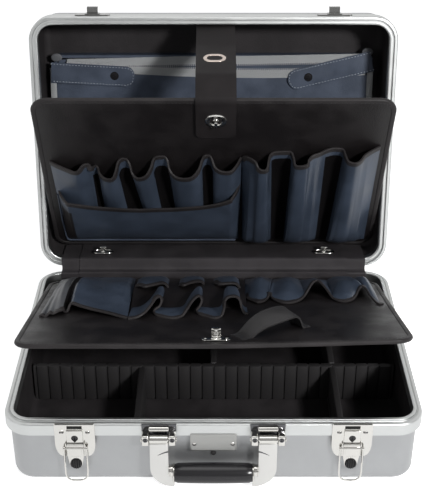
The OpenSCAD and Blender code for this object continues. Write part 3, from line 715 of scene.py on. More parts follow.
# %% [markdown]
# ## Slotted wall
#
# The wall across the base is a moulded rail with a slot every 15 mm on both faces, so that the
# cross dividers can be set where they are wanted. The slots run its full height, so they are
# drawn in its outline and extruded with it, as they are in the real moulding.

# %% Slotted wall
def slotted_outline(half, t, pitch=15, slot=2.4, deep=2.0):
    n = int((half - slot) // pitch)
    front, back = [(-half, -t)], [(-half, t)]
    for k in range(-n, n + 1):
        x = k * pitch
        front += [(x - slot / 2, -t), (x - slot / 2, -t + deep), (x + slot / 2, -t + deep),
                  (x + slot / 2, -t)]
        back += [(x - slot / 2, t), (x - slot / 2, t - deep), (x + slot / 2, t - deep),
                 (x + slot / 2, t)]
    return front + [(half, -t), (half, t)] + back[:0:-1] + [(-half, t)]


wall = slab(slotted_outline(228.4, 3.9), 5.2, 55.8, 0.45, 2)
WALL_Y, LINING_Y = -10, 163.2
piece("slotted_wall_rail", wall, MATT, "base", shift(0, WALL_Y, 0), ["slotted_wall"])
print("the wall stands", round(LINING_Y + WALL_Y, 1), "mm behind the front lining")

# %% [markdown]
# ## Cross dividers
#
# Four thin hard boards with a rounded rail along the top and a foot along the bottom. Their
# rounded rails show as thin bright lines from above, so the rails get a generous bevel.

# %% Dividers
def divider(x, side):
    """Thin board with a shallow rail at its top and a tongue in the wall's slot."""
    y0 = WALL_Y + side * 4.4
    y1 = side * LINING_Y
    low, high = min(y0, y1), max(y0, y1)
    plate = block((x - 3, low, 5.4), (x + 3, high, 54.2), 0.8, 2)
    rail = block((x - 3.9, low + 0.3, 47.5), (x + 3.9, high - 0.3, 55.9), 1.4, 3)
    foot = block((x - 3.9, low + 0.3, 5.0), (x + 3.9, high - 9, 12), 1.0, 2) if side > 0 else \
        block((x - 3.9, low + 9, 5.0), (x + 3.9, high - 0.3, 12), 1.0, 2)
    return joined(plate, rail, foot)


for name, x, side in (("front_left", -90, -1), ("front_right", 150, -1),
                      ("rear_middle", 0, 1), ("rear_right", 150, 1)):
    piece(f"divider_{name}_board", divider(x, side), MATT, "base", BASE, [f"divider_{name}"])
print("dividers end", LINING_Y, "mm from the middle")

# %% [markdown]
# ## Lid hinges
#
# Two plated butt hinges riveted to the outside of the frames. They are plain stampings, so the
# CAD solids are shown as they are, with their edges rounded by a modifier.

# %% Hinge leaves
def show_cad(node, paint, width=0.2):
    """Shows a CAD node itself, with rounded edges and a material."""
    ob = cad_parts[node]
    ob.data.materials.clear()
    ob.data.materials.append(paint)
    if width:
        mod = ob.modifiers.new("edges", "BEVEL")
        mod.width, mod.segments, mod.limit_method = width * 0.001, 2, "ANGLE"
        mod.angle_limit = math.radians(40)
    return ob


for node in ("base_hinge_leaves", "lid_hinge_leaves", "hinge_pins"):
    show_cad(node, NICKEL)
    print(node, "shown as the CAD has it")

# %% [markdown]
# ## Draw latches
#
# Each latch is a plate with a lock in it, a lever with a thumb pad, and a wire bail that hooks
# over the lid's catch. Everything is drawn in the plane of the front, with z out of it,
# because a press works the same way. These tools make the outline, the rods and the rivets.

# %% The plane of a latch
front = lambda x: shift(x, FRONT, 0) @ turn_x(math.pi / 2)
PLATE_T, LEVER_OUT, LEVER_Z, BAIL_Z, LOCK_Z, PAD_Z = 1.4, 3.3, 62, 57.5, 71.5, 35.7
LEVER_X, BAIL_X, BAIL_OUT = 9.3, 12.8, 4.3


def shield_outline(half=23, neck=14, low=44, high=90, bend=18, r=1.6):
    """Straight foot, two round shoulders and a square top with small corners."""
    right = [(neck + (half - neck) * math.sin(a), low + bend * (1 - math.cos(a)))
             for a in (math.radians(12 * k) for k in range(8)) if a <= math.pi / 2]
    right += [(half - r + x, high - r + z) for x, z in arc(0, 0, r, 0, 90, 4)]
    return [(-x, z) for x, z in reversed(right)] + right


def tube(x0, x1, y, z, r, n=16):
    """Rod along x with its end edges rounded."""
    return moved(spin([(0, x0), (r * 0.85, x0), (r, x0 + r * 0.15), (r, x1 - r * 0.15),
                       (r * 0.85, x1), (0, x1)], n), shift(0, y, z) @ Y_TO_X)


Y_TO_X = Matrix.Rotation(math.pi / 2, 4, "Y")


def rivet(x, y, z, r=2.3, h=0.75):
    """Low domed rivet head."""
    dome = [(0, 0)] + [(r * math.cos(math.radians(a)), h * math.sin(math.radians(a)))
                       for a in range(0, 91, 15)]
    return moved(spin(dome, 20), shift(x, y, z))


print("a latch plate's outline has", len(shield_outline()), "points")

# %% [markdown]
# ## Latch plate and lock box
#
# The plate is stamped with a straight foot, round shoulders and a strike slot. A raised box
# holds the lock, and two ears carry the lever's pin. The plate and the box are slabs, and the
# slot and the keyhole are cut through them afterwards, in the order of the real tooling.

# %% Latch plate
def latch_plate(place, name):
    box = slab([(-9.4, 65), (9.4, 65), (9.4, 81.5), (-9.4, 81.5)], 1.0, 3.9, 0.9, 3)
    lip = tube(-8.8, 8.8, 82.1, 1.5, 0.9)
    ears = []
    for s in (-1, 1):
        ear = slab([(-2.3, 0), (-2.3, 2.6), (-1.4, 4.1), (1.4, 4.1), (2.3, 2.6), (2.3, 0)],
                   -0.7, 0.7, 0.25)
        ears.append(moved(ear, shift(s * 10.5, LEVER_Z, 1.2) @ Y_TO_X @
                          turn_z(math.pi / 2)))
        ears.append(tube(s * 10.6 - 0.85, s * 10.6 + 0.85, LEVER_Z, LEVER_OUT, 1.5, 12))
    plate = slab(shield_outline(), 0, PLATE_T, 0.35, 2)
    ob = piece(f"latch_plate_{name}_stamping", plate, NICKEL, "base", place,
               [f"latch_plate_{name}"])
    house = piece(f"lock_box_{name}", box, NICKEL, "base", place)
    piece(f"latch_ears_{name}", joined(lip, *ears), NICKEL, "base", place)
    slot_ = block((-8.6, 83.0, -2), (8.6, 86.9, 3), 0)
    drop = [(3.9 * math.cos(a), LOCK_Z + 3.9 * math.sin(a))
            for a in (math.radians(-48 + 276 * k / 20) for k in range(21))] + [(0, LOCK_Z - 6.1)]
    cut(ob, moved(slot_, at(place)), moved(slab(drop, -1, 6, 0), at(place)))
    cut(house, moved(slab(drop, -1, 6, 0), at(place)))
    back = joined(block((-8.8, 82.8, -0.1), (8.8, 87.1, 0.5), 0),
                  slab(rounded(10, 14, 2, 4, 0, 70.5), -0.5, 0.6, 0),
                  block((-21.8, 88.5, 0.9), (21.8, 89.7, 1.6), 0.1))
    piece(f"latch_shadow_{name}", back, HOLE, "base", place)


print("a latch plate is", PLATE_T, "mm thick")

# %% [markdown]
# ## Lock cylinder
#
# A turned black cylinder with a key slot, set back in its drop-shaped hole. It turns with the
# key, so it is a piece of its own on its own body, spun and then cut.

# %% Lock cylinder
def latch_lock(place, name):
    """Turned cylinder with a key slot, set back in its drop-shaped hole."""
    face = spin([(0, 0.4), (3.1, 0.4), (3.5, 0.0), (3.5, -1.5), (0, -1.5)], 32)
    ob = piece(f"lock_cylinder_{name}_turned", face, PLASTIC, f"lock_{name}",
               place @ shift(0, LOCK_Z, 2.9), [f"lock_cylinder_{name}"])
    cut(ob, moved(block((-0.55, -2.6, -0.9), (0.55, 1.2, 1), 0),
                  at(place @ shift(0, LOCK_Z, 2.9))))


print("the lock sits", LOCK_Z, "mm up")

# %% [markdown]
# ## Latch lever and thumb pad
#
# The lever is a flat stamping with a round nose and a swaged panel, rolled round its pin at
# the top. A black pad with five upright ribs is fixed to the nose. Each rib is a block as long
# as the round pad is wide at that place, because the ribs end on its rim.

# %% Latch lever
def latch_lever(place, name):
    nose = [(7.5 * math.sin(a), PAD_Z - 7.5 * math.cos(a))
            for a in (math.radians(-80 + 16 * k) for k in range(11))]
    outline = [(LEVER_X, LEVER_Z), (-LEVER_X, LEVER_Z), (-LEVER_X, 45.5)]
    outline += nose + [(LEVER_X, 45.5)]
    plate = slab(outline, LEVER_OUT - 0.7, LEVER_OUT + 0.7, 0.35, 2)
    swage = slab(rounded(14.5, 11, 2.2, 4, 0, 51.5), LEVER_OUT, LEVER_OUT + 1.15, 0.5, 2)
    parts = [plate, swage, tube(-LEVER_X, LEVER_X, LEVER_Z, LEVER_OUT, 1.6),
             tube(-BAIL_X - 1.5, BAIL_X + 1.5, BAIL_Z, BAIL_OUT, 1.0),
             tube(-LEVER_X, LEVER_X, BAIL_Z, BAIL_OUT, 1.5)]
    piece(f"latch_lever_{name}_stamping", joined(*parts), NICKEL, f"lever_{name}",
          place, [f"latch_lever_{name}"])
    base = moved(spin([(0, 0), (6.8, 0), (6.8, 0.9), (6.3, 1.5), (0, 1.7)], 40),
                 shift(0, PAD_Z, LEVER_OUT + 0.7))
    piece(f"thumb_pad_{name}_base", base, HOLE, f"lever_{name}", place, slot="black_plastic")
    ribs = []
    for k in range(-2, 3):
        x = 2.5 * k
        reach = math.sqrt(6.2 ** 2 - x * x)
        ribs.append(block((x - 0.6, PAD_Z - reach, LEVER_OUT + 1.9),
                          (x + 0.6, PAD_Z + reach, LEVER_OUT + 3.3), 0.35, 2))
    piece(f"thumb_pad_{name}_moulding", joined(*ribs), RIBBED, f"lever_{name}",
          place, [f"thumb_pad_{name}"])


print("the lever's pin is", LEVER_Z, "mm up and its pad", PAD_Z)

# %% [markdown]
# ## Wire bail
#
# One bent wire with an eye at each end, which turns on the lever and hooks over the catch. A
# round section swept along one half of its path and the mirror of it gives a wire whose
# thickness never changes at a bend.

# %% Wire bail and both latches
def latch_bail(place, name):
    """One bent wire: eye, leg, round foot, leg, eye."""
    leg = [(-BAIL_X, BAIL_Z - 1), (-BAIL_X, 30), (-12.6, 22), (-11.6, 16.6), (-8.8, 12.8),
           (-4.2, 11.3)]
    leg += [(-x, y) for x, y in reversed(leg)]
    path = smooth_path([(x, y, BAIL_OUT) for x, y in leg], 6)
    wire = sweep(path, circle(1.15, 12), up=(0, 0, 1))
    eyes = [tube(s * BAIL_X - 1.15, s * BAIL_X + 1.15, BAIL_Z, BAIL_OUT, 2.2, 20)
            for s in (-1, 1)]
    piece(f"latch_bail_{name}_wire", joined(wire, *eyes), NICKEL, f"bail_{name}",
          place, [f"latch_bail_{name}"])


for side, name in ((-1, "left"), (1, "right")):
    for make in (latch_plate, latch_lock, latch_lever, latch_bail):
        make(front(side * LATCH_X), name)
print("latches stand", 2 * LATCH_X, "mm apart")

# %% [markdown]
# ## Rivets
#
# Slotted rivets hold the latch plates, and two small domed ones hold the nameplate. A dome is
# a spun quarter circle. Its slot is a thin dark bar laid in it, since it is too small to cut.
# A thin dark half ring under each nameplate rivet is painted shade, where the light misses it.

# %% Rivet heads and slots
def half_moon(x, y, z, r=2.3):
    """Dark lower half round a rivet head, where the light misses it."""
    ring = [(r * 1.12 * math.cos(a), r * 1.12 * math.sin(a))
            for a in (math.radians(180 + 15 * k) for k in range(13))]
    return moved(slab(ring, 0, 0.12, 0), shift(x, y, z))


RIVET_X, RIVET_Z, NAME_RIVET_X = 14.8, 78, 21.8
rivet_xs = [side * LATCH_X + x for side in (-1, 1) for x in (-RIVET_X, RIVET_X)]
heads = [rivet(x, RIVET_Z, PLATE_T - 0.05) for x in rivet_xs]
heads += [rivet(x, 61.5, 0.8, 1.9, 0.8) for x in (-NAME_RIVET_X, NAME_RIVET_X)]
piece("front_rivet_heads", joined(*heads), NICKEL, "base", front(0), ["front_rivets"])
slots_and_shade = [block((x - 2.5, RIVET_Z - 0.7, PLATE_T + 0.1),
                (x + 2.5, RIVET_Z + 0.8, PLATE_T + 0.95), 0.15) for x in rivet_xs]
# Dark half rings under the nameplate's rivets are painted shade.
slots_and_shade += [half_moon(x, 61.2, 0.8) for x in (-NAME_RIVET_X, NAME_RIVET_X)]
piece("front_rivet_slots_and_shade", joined(*slots_and_shade), MATT, "base", front(0), slot="plated_steel")
print("rivets at", rivet_xs)

# %% [markdown]
# ## Nameplate and buffer
#
# The nameplate is bare satin metal, stepped once round its edge: two slabs, one on the other,
# give the step. A rubber button below it stops the grip from knocking on the shell.

# %% Nameplate and buffer
NAME_Z = 63
plate = slab(rounded(53, 24, 1.6, 5, 0, NAME_Z), 0, 0.8, 0.25, 2)
edge = slab(rounded(50.4, 21.4, 1.2, 4, 0, NAME_Z), 0.4, 0.92, 0.1, 1)
foot = block((-24.5, 53, -5.2), (24.5, 71.5, 0.2), 0.2)
piece("nameplate_bare", joined(plate, edge, foot), PLATE, "base", front(0), ["nameplate"])
button = spin([(0, -5.2), (3.0, -5.2), (3.0, -4.4), (2.6, -3.7), (1.4, -3.4), (0, -3.4)], 28)
piece("grip_buffer_button", button, MATT, "base", front(0) @ shift(0, 44, 0), ["grip_buffer"],
      slot="rubber")
print("the nameplate's middle is", NAME_Z, "mm up")

# %% [markdown]
# ## Handle brackets and pins
#
# Two cast brackets stand on the frame, each with two lugs, a barrel above them and a slotted
# screw in each lug. Pins through the lugs carry the handle's arms. Lugs are blocks with a wide
# bevel, because a casting is rounder than a stamping.

# %% Handle brackets
PIVOT_Z, PIVOT_OUT, ARM_W, GRIP_Z, GRIP_OUT, GRIP_R, GRIP_LEN = 75, 10, 21, 28, 11.5, 12, 89
LUG_X = 15.1


def handle_bracket(side, name):
    place = front(side * HANDLE_X)
    back = slab([(-19.9, 89.4), (-19.3, 76), (19.3, 76), (19.9, 89.4)], 0, PLATE_T, 0.3, 2)
    foot = block((-18.6, 68.6, -5), (18.6, 77, PLATE_T), 0.4)
    piece(f"handle_bracket_{name}_plate", joined(back, foot), DARK_METAL, "base", place,
          [f"handle_bracket_{name}"])
    lugs = [block((s * LUG_X - 4.1, 67.6, 1.0), (s * LUG_X + 4.1, 81.4, 13.6), 1.6, 3)
            for s in (-1, 1)]
    lugs.append(tube(-11.2, 11.2, 84.6, 3.6, 3.3, 28))
    piece(f"handle_bracket_{name}_lugs", joined(*lugs), NICKEL, "base", place)
    heads, slots = [], []
    for s in (-1, 1):
        x = s * LUG_X
        heads.append(moved(spin([(0, 1.1), (1.9, 0.95), (2.9, 0.4), (3.1, 0), (0, 0)], 28),
                           shift(x, PIVOT_Z + 1.2, 13.5)))
        for turn in (25, 115):
            slots.append(moved(block((-1.8, -0.4, 0), (1.8, 0.4, 0.3), 0.05),
                               shift(x, PIVOT_Z + 1.2, 14.4)
                               @ turn_z(math.radians(turn * s))))
    piece(f"bracket_screws_{name}", joined(*heads), DARK_METAL, "base", place)
    piece(f"bracket_screw_slots_{name}", joined(*slots), HOLE, "base", place)


def pivot_pins():
    """Pins through the arms, with a flat head outside each lug."""
    parts = []
    for side in (-1, 1):
        for s in (-1, 1):
            x = side * HANDLE_X + s * 19.8
            parts.append(tube(x - 0.7, x + 0.7, PIVOT_Z, PIVOT_OUT, 3.0, 24))
        parts.append(tube(side * HANDLE_X - 19, side * HANDLE_X + 19, PIVOT_Z, PIVOT_OUT, 1.45))
    return joined(*parts)


print("brackets stand", 2 * HANDLE_X, "mm apart")

# %% [markdown]
# ## Handle arms
#
# Two flat arms hang in the brackets. They turn inwards under the grip's ends, which keeps the
# hand off the shell when the case is carried. One outline is extruded and mirrored, as both
# arms come from one tool.

# %% Handle arms
def arm_outline():
    """Right-hand arm: straight inside, round outside, with a toe under the grip."""
    inner, outer = HANDLE_X - ARM_W / 2, HANDLE_X + ARM_W / 2
    low = GRIP_Z - GRIP_R - 7
    bend = outer - GRIP_LEN / 2 - 1
    curve = [(outer - bend * (1 - math.cos(a)), low + bend * (1 - math.sin(a)))
             for a in (math.radians(6 * k) for k in range(16))]
    toe = [(GRIP_LEN / 2 + 0.6, low), (GRIP_LEN / 2, low + 0.8), (GRIP_LEN / 2, 24.5)]
    top = PIVOT_Z - 4.6
    return [(inner, top), (outer, top)] + curve + toe + [(inner, 24.5)]


def crescent():
    """Thin dark crescent laid on an arm, from its inner edge towards its middle."""
    x0, y0 = 51.1, 60.6
    over = [(x0 + 12.5 * t, y0 - 6.6 * t ** 1.5) for t in (k / 8 for k in range(9))]
    under = [(x, y - 2.0 * math.cos(math.pi / 2 * k / 8) ** 0.8 - 0.05)
             for k, (x, y) in enumerate(over)]
    return slab(over + list(reversed(under[:-1])), 12.9, 13.08, 0)


def handle_arm(side, name):
    plate = slab(arm_outline(), 7.1, 12.95, 0.9, 3)
    neck = block((HANDLE_X - 10.4, PIVOT_Z - 6, 7.4), (HANDLE_X + 10.4, PIVOT_Z - 2, 12.4), 0.6)
    flip_ = Matrix.Diagonal((side, 1, 1, 1))
    arm = moved(joined(plate, neck), flip_)
    barrel = tube(side * HANDLE_X - 10.6, side * HANDLE_X + 10.6, PIVOT_Z, PIVOT_OUT, 5.0, 36)
    piece(f"handle_arm_barrel_{name}", barrel, NICKEL, "handle", front(0))
    mark = moved(crescent(), flip_)
    for bm in (arm, mark):
        bmesh.ops.recalc_face_normals(bm, faces=bm.faces)
    piece(f"handle_arm_{name}_plate", arm, STEEL, "handle", front(0), [f"handle_arm_{name}"])
    piece(f"handle_arm_mark_{name}", mark, DARK_METAL, "handle", front(0), slot="")


print("an arm's outline has", len(arm_outline()), "points")

# %% [markdown]
# ## Grip and ferrules
#
# A moulded grip sits between two chrome collars. All of it is round, so it is spun: the
# grip's profile thins a little towards its ends, where the hand stops.

# %% Grip, ferrules and the whole handle
def grip():
    """Barrel-shaped moulding with round ends."""
    profile, n = [(0, -GRIP_LEN / 2)], 22
    for k in range(n + 1):
        t = -1 + 2 * k / n
        r = GRIP_R - 0.7 * t * t - (1.3 * max(0, abs(t) - 0.94) / 0.06)
        profile.append((r, t * (GRIP_LEN / 2 - 0.05)))
    profile.append((0, GRIP_LEN / 2))
    return moved(spin(profile, 56), shift(0, GRIP_Z, GRIP_OUT) @ Y_TO_X)


def ferrules():
    """Turned chrome collars between the grip and the arms, with a smaller sleeve on each."""
    parts = []
    for side in (-1, 1):
        turn = Matrix.Rotation(side * math.pi / 2, 4, "Y")
        ring = spin([(0, 44.2), (10.6, 44.2), (11.4, 44.6), (11.4, 45.6), (10.4, 46.1), (0, 46.1)],
                    48)
        sleeve = spin([(0, 45.8), (6.4, 45.8), (7.4, 46.3), (7.4, 48.2), (6.6, 48.6), (6.6, 50),
                       (7.0, 50.5), (7.0, 51), (0, 51)], 36)
        parts.append(moved(ring, shift(0, GRIP_Z, GRIP_OUT) @ turn))
        parts.append(moved(sleeve, shift(0, GRIP_Z + 4.3, GRIP_OUT + 0.6) @ turn))
    return joined(*parts)


for side, name in ((-1, "left"), (1, "right")):
    handle_bracket(side, name)
    handle_arm(side, name)
piece("handle_pivot_pins", pivot_pins(), NICKEL, "base", front(0), ["handle_pins"])
piece("grip_moulding", grip(), PLASTIC, "handle", front(0), ["handle_grip"])
piece("grip_ferrule_collars", ferrules(), NICKEL, "handle", front(0), ["grip_ferrules"])
print("the grip is", GRIP_LEN, "mm long and", 2 * GRIP_R, "mm thick")

# %% [markdown]
# ## Cloth and leather
#
# A sheet of leathercloth hangs in slack waves that no box or cylinder gives. A grid is laid on
# a formula for its surface and extruded backwards by its thickness. Stitches are short raised
# threads, because a sewn edge reads by its separate highlights.

# %% Sheets and stitches
def grid(nx, ny, f):
    """Grid of faces; f(u, v) gives its points, u and v from 0 to 1."""
    bm = bmesh.new()
    bmesh.ops.create_grid(bm, x_segments=nx, y_segments=ny, size=0.5)
    for v in bm.verts:
        v.co = f(round((v.co.x + 0.5) * nx) / nx, round((v.co.y + 0.5) * ny) / ny)
    return bm


def thicken(bm, t):
    """Gives a sheet its thickness: a copy of it is extruded backwards along its normals."""
    bm.normal_update()
    normal = bm.verts.layers.float_vector.new("normal")
    for v in bm.verts:
        v[normal] = v.normal
    got = bmesh.ops.extrude_face_region(bm, geom=bm.faces[:], use_keep_orig=True)
    for v in got["geom"]:
        if isinstance(v, bmesh.types.BMVert):
            v.co -= v[normal] * t
    bm.verts.layers.float_vector.remove(normal)
    bmesh.ops.recalc_face_normals(bm, faces=bm.faces)
    return bm


def wave(x, y, z=0.0, scale=1.0):
    """Smooth random height from -1 to 1."""
    return noise.noise(Vector((x, y, z)) * scale)


def stitches(path, up=(0, 0, 1), pitch=4.2, length=2.9, r=0.36):
    """Short raised threads along a path, all of them copies of one."""
    pts, up = [Vector(p) for p in path], Vector(up)
    run, marks = 0.0, []
    for a, b in zip(pts, pts[1:]):
        d = (b - a).length
        while run <= d and d > 0:
            marks.append((a.lerp(b, run / d), (b - a).normalized()))
            run += pitch
        run -= d
    one, threads = bmesh.new(), []
    bmesh.ops.create_uvsphere(one, u_segments=5, v_segments=2, radius=1)
    for centre, along in marks:
        side = along.cross(up).normalized()
        place = Matrix((up * r, side * r, along * length / 2)).transposed().to_4x4()
        place.translation = centre
        threads.append(moved(one.copy(), place))
    one.free()
    return joined(*threads)


def band(path, width, t, nx=2, bow=0.0):
    """Strip of cloth along a 3-D path of (point, across) pairs."""
    n = len(path) - 1

    def f(u, v):
        p, across = path[round(v * n)]
        k = 2 * u - 1
        lift = bow * (1 - k * k)
        along = path[min(round(v * n) + 1, n)][0] - path[max(round(v * n) - 1, 0)][0]
        return p + across * (width / 2 * k) + across.cross(along).normalized() * lift
    return thicken(grid(nx, n, f), t)


patch = thicken(grid(4, 4, lambda u, v: Vector((10 * u, 10 * v, 0))), 1)
print("a patch of cloth has", len(patch.faces), "faces")
patch.free()

# %% [markdown]
# ## Paths and cut sizes
#
# Leather is cut flat before it is sewn, so each sheet also says the size it was cut to. Its
# width and its area are measured on the same formula that draws it, so the two always agree.

# %% Paths and cut sizes
def fillet(points, r, n=4):
    """Rounds the corners of a path."""
    p = [Vector(q) for q in points]
    out = [p[0]]
    for a, b, c in zip(p, p[1:], p[2:]):
        reach = min(r, (a - b).length * 0.45, (c - b).length * 0.45)
        one, two = b + (a - b).normalized() * reach, b + (c - b).normalized() * reach
        out += [one.lerp(b, t).lerp(b.lerp(two, t), t) for t in (k / n for k in range(n + 1))]
    return out + [p[-1]]


def even(points, step):
    """The same path with points at even steps."""
    pts = [Vector(p) for p in points]
    total = sum((b - a).length for a, b in zip(pts, pts[1:]))
    count = max(2, round(total / step))
    out, want, run = [pts[0]], total / count, 0.0
    for a, b in zip(pts, pts[1:]):
        d = (b - a).length
        while want <= run + d + 1e-6 and len(out) < count:
            out.append(a.lerp(b, (want - run) / d))
            want += total / count
        run += d
    return out + [pts[-1]]


def sizes_of(f, nu=80, nv=16):
    """Width along the strip and the length that gives its true area, in metres."""
    width = sum((f((i + 1) / nu, v) - f(i / nu, v)).length
                for v in (0.1, 0.5, 0.9) for i in range(nu)) / 3
    area = 0
    for i in range(nu):
        for j in range(nv):
            a, b = f(i / nu, j / nv), f((i + 1) / nu, j / nv)
            c, d = f(i / nu, (j + 1) / nv), f((i + 1) / nu, (j + 1) / nv)
            area += (d - a).cross(c - b).length / 2
    return round(width / 1000, 3), round(area / width / 1000, 3)


def cut_from(ob, flat, held, rests_on, **facts):
    """Prints the size a piece was cut to: a pair, or worked out from its formula."""
    flat = sizes_of(flat) if callable(flat) else flat
    print(ob.name, "cut from", flat)


print("an even path has", len(even([(0, 0, 0), (10, 0, 0)], 2)), "points")

# %% [markdown]
# ## Document pouch in the lid
#
# A flat panel on a narrow gusset, sewn to the lining, with pale binding tape down its sides
# and a long zip near its top. The zip stands a little open towards the right, so that two
# rows of teeth and the slate lining between them show.

# %% Document pouch
POUCH_Z, POUCH_LOW, POUCH_HIGH, POUCH_W = -58, 22, 288, 434


def pouch_panel(u, v):
    x, s = -218 + 430 * u, 24 + 236.5 * v
    bulge = 1.5 * math.sin(math.pi * u) ** 0.5 * math.sin(math.pi * v) ** 0.5
    ripple = 0.9 * wave(x * 0.012, s * 0.02) * math.sin(math.pi * u)
    return Vector((x, s, POUCH_Z - 1.6 + bulge + ripple))


panel = piece("pouch_panel", thicken(grid(72, 40, pouch_panel), 1.2), POUCH, "lid", LID,
              ["document_pouch"])


def pouch_inside(u, v):
    return Vector((-211 + 419 * u, 256 + (25 + 5 * u) * v, POUCH_Z - 4 - 1.5 * wave(9 * u, v)))


inner = piece("pouch_inner", thicken(grid(60, 6, pouch_inside), 1.0), POUCH, "lid", LID)
gusset = around([(0, -74.6), (0.4, -66), (0, -61.5), (0.8, -59.8), (4.2, -59.3)], False,
                cy=(POUCH_LOW + POUCH_HIGH) / 2, w=POUCH_W, d=POUCH_HIGH - POUCH_LOW, r=7, n=5)
gusset = piece("pouch_gusset", thicken(gusset, 1.1), POUCH, "lid", LID)


def side_tape(side):
    path = [(Vector((-2.6 + side * (216.4 + 0.5 * wave(s * 0.03, side)), s, POUCH_Z - 1.1)),
             Vector((1, 0, 0))) for s in (26 + 4 * k for k in range(62))]
    return band(path, 8.2, 0.7, nx=4, bow=1.3)


tapes = piece("pouch_side_tapes", joined(side_tape(-1), side_tape(1)), TAPE, "lid", LID)
cut_from(gusset, (0.018, 1.388), "folded", ["lid_lining"])
cut_from(panel, pouch_panel, "stretched", ["pouch_gusset"])
cut_from(inner, pouch_inside, "stretched", ["pouch_gusset"])
cut_from(tapes, (0.017, 0.244), "stretched", ["pouch_panel"])
print("the pouch is", POUCH_W, "mm wide and", POUCH_HIGH - POUCH_LOW, "mm high")

# %% [markdown]
# ## Zip
#
# Two woven tapes with a chain of small teeth along their facing edges, and a slider where they
# meet. The tapes are thin, so they follow the slack of the panel. Each is a grid along a smooth
# line, and its teeth are small cubes at even steps on the same line.

# %% Zip
UPPER_ZIP = [(-199, 277), (-150, 277.6), (-90, 279), (-20, 280.5), (60, 281), (207, 284)]
LOWER_ZIP = [(-199, 273.5), (-150, 270.6), (-90, 268), (-20, 265.5), (60, 264), (130, 265),
             (207, 268)]


def zip_tape(line, edge, widths):
    """One tape with its teeth on the side given by edge, 1 for up and -1 for down."""
    mid = even(smooth_path([(x, s, 0) for x, s in line], 8), 4)
    n = len(mid) - 1

    def f(u, v):
        p = mid[round(v * n)]
        w = widths[0] + (widths[1] - widths[0]) * min(1, v * 3)
        sag = 0.5 * wave(p.x * 0.03, edge * 3.1)
        return Vector((p.x, p.y - edge * w * u, POUCH_Z - 0.4 + sag - 0.5 * u))
    cloth = grid(4, n, f)
    if edge > 0:
        bmesh.ops.reverse_faces(cloth, faces=cloth.faces)
    teeth = bmesh.new()
    for p in even(mid, 2.6):
        z = POUCH_Z + 0.1 + 0.5 * wave(p.x * 0.03, edge * 3.1)
        tooth = bmesh.ops.create_cube(teeth, size=1)["verts"]
        bmesh.ops.scale(teeth, vec=(1.25, 3.4, 1.5), verts=tooth)
        bmesh.ops.translate(teeth, vec=(p.x, p.y + edge * 0.5, z), verts=tooth)
    return thicken(cloth, 0.6), soften(teeth, 0.3, 1)


low_cloth, low_teeth = zip_tape([(x, s + 3.5) for x, s in LOWER_ZIP], 1, (9, 11))
up_cloth, up_teeth = zip_tape([(x, s - 5) for x, s in UPPER_ZIP], -1, (10.5, 11))
zip_cloth = piece("zip_tapes", joined(low_cloth, up_cloth), TAPE, "lid", LID, ["pouch_zip"])
cut_from(zip_cloth, (0.021, 0.409), "stretched", ["pouch_panel"])
piece("zip_teeth", joined(low_teeth, up_teeth), TEETH, "lid", LID)
pull = joined(slab(rounded(9, 7, 2.4, 4), 0, 2.6, 0.6),
              slab(rounded(4, 16, 1.8, 4, 0, -9), 2.6, 3.5, 0.3))
piece("zip_slider", pull, NICKEL, "lid", LID @ shift(-206, 269, POUCH_Z - 1.2))
print("the zip opens", UPPER_ZIP[-1][1] - LOWER_ZIP[-1][1], "mm at its right end")

# %% [markdown]
# ## Snap straps
#
# Two tabs reach in from the sides over the zip. Each is two layers of leathercloth with a
# pale thread round its edge, a round tip and a black press stud. Both come from one function,
# since they differ only in where they start and end.

# %% Snap straps
STRAP_W = 28


def snap_strap(name, root, tip, snap, lift):
    a, b = Vector((*root, 0)), Vector((*tip, 0))
    run, along = (b - a).length, (b - a).normalized()
    across = Vector((-along.y, along.x, 0)) * (1 if along.x > 0 else -1)

    def height(d, k=0.0):
        return (POUCH_Z + 2.2 + lift * math.exp(-((d - 26) / 22) ** 2)
                + 0.45 * wave(d * 0.05, k * 0.8) - 0.35 * k * k)

    def half_width(d):
        left = run - d
        return STRAP_W / 2 * math.sqrt(max(0.02, 1 - (1 - min(left, 12) / 12) ** 2))

    def at_(d, k, up=0.0):
        return a + along * d + across * (half_width(d) * k) + Vector((0, 0, height(d, k) + up))
    ds = [run * k / 30 for k in range(28)] + [run - 6, run - 3.5, run - 1.8, run - 0.7, run]

    def face_(u, v):
        return at_(ds[round(v * (len(ds) - 1))], 2 * u - 1)
    cloth = grid(8, len(ds) - 1, face_)
    if along.x > 0:
        bmesh.ops.reverse_faces(cloth, faces=cloth.faces)
    ob = piece(f"snap_strap_{name}", thicken(cloth, 2.0), POUCH, "lid", LID)
    cut_from(ob, face_, "laid", ["pouch_panel", "zip_tapes"])

    def inset(d):
        return max(0.1, 1 - 2.2 / max(half_width(d), 2.3))
    one = [at_(d, inset(d), 0.15) for d in ds[:-1] if d < run - 2.2]
    two = [at_(d, -inset(d), 0.15) for d in ds[:-1] if d < run - 2.2]
    end = a + along * (run - 2.2) + Vector((0, 0, height(run) + 0.15))
    seam = stitches(one + [end] + list(reversed(two)), r=0.55)
    piece(f"snap_strap_thread_{name}", seam, THREAD, "lid", LID)
    stud = spin([(0, 1.5), (2.1, 1.45), (2.5, 1.0), (3.4, 0.9), (5.3, 0.75), (5.8, 0.2),
                 (5.8, -0.6), (0, -0.6)], 32)
    d = (Vector((*snap, 0)) - a).dot(along)
    spot = piece(f"strap_stud_{name}", stud, PLASTIC, "lid",
                 LID @ shift(*snap, height(d) + 0.1))
    return ob, spot


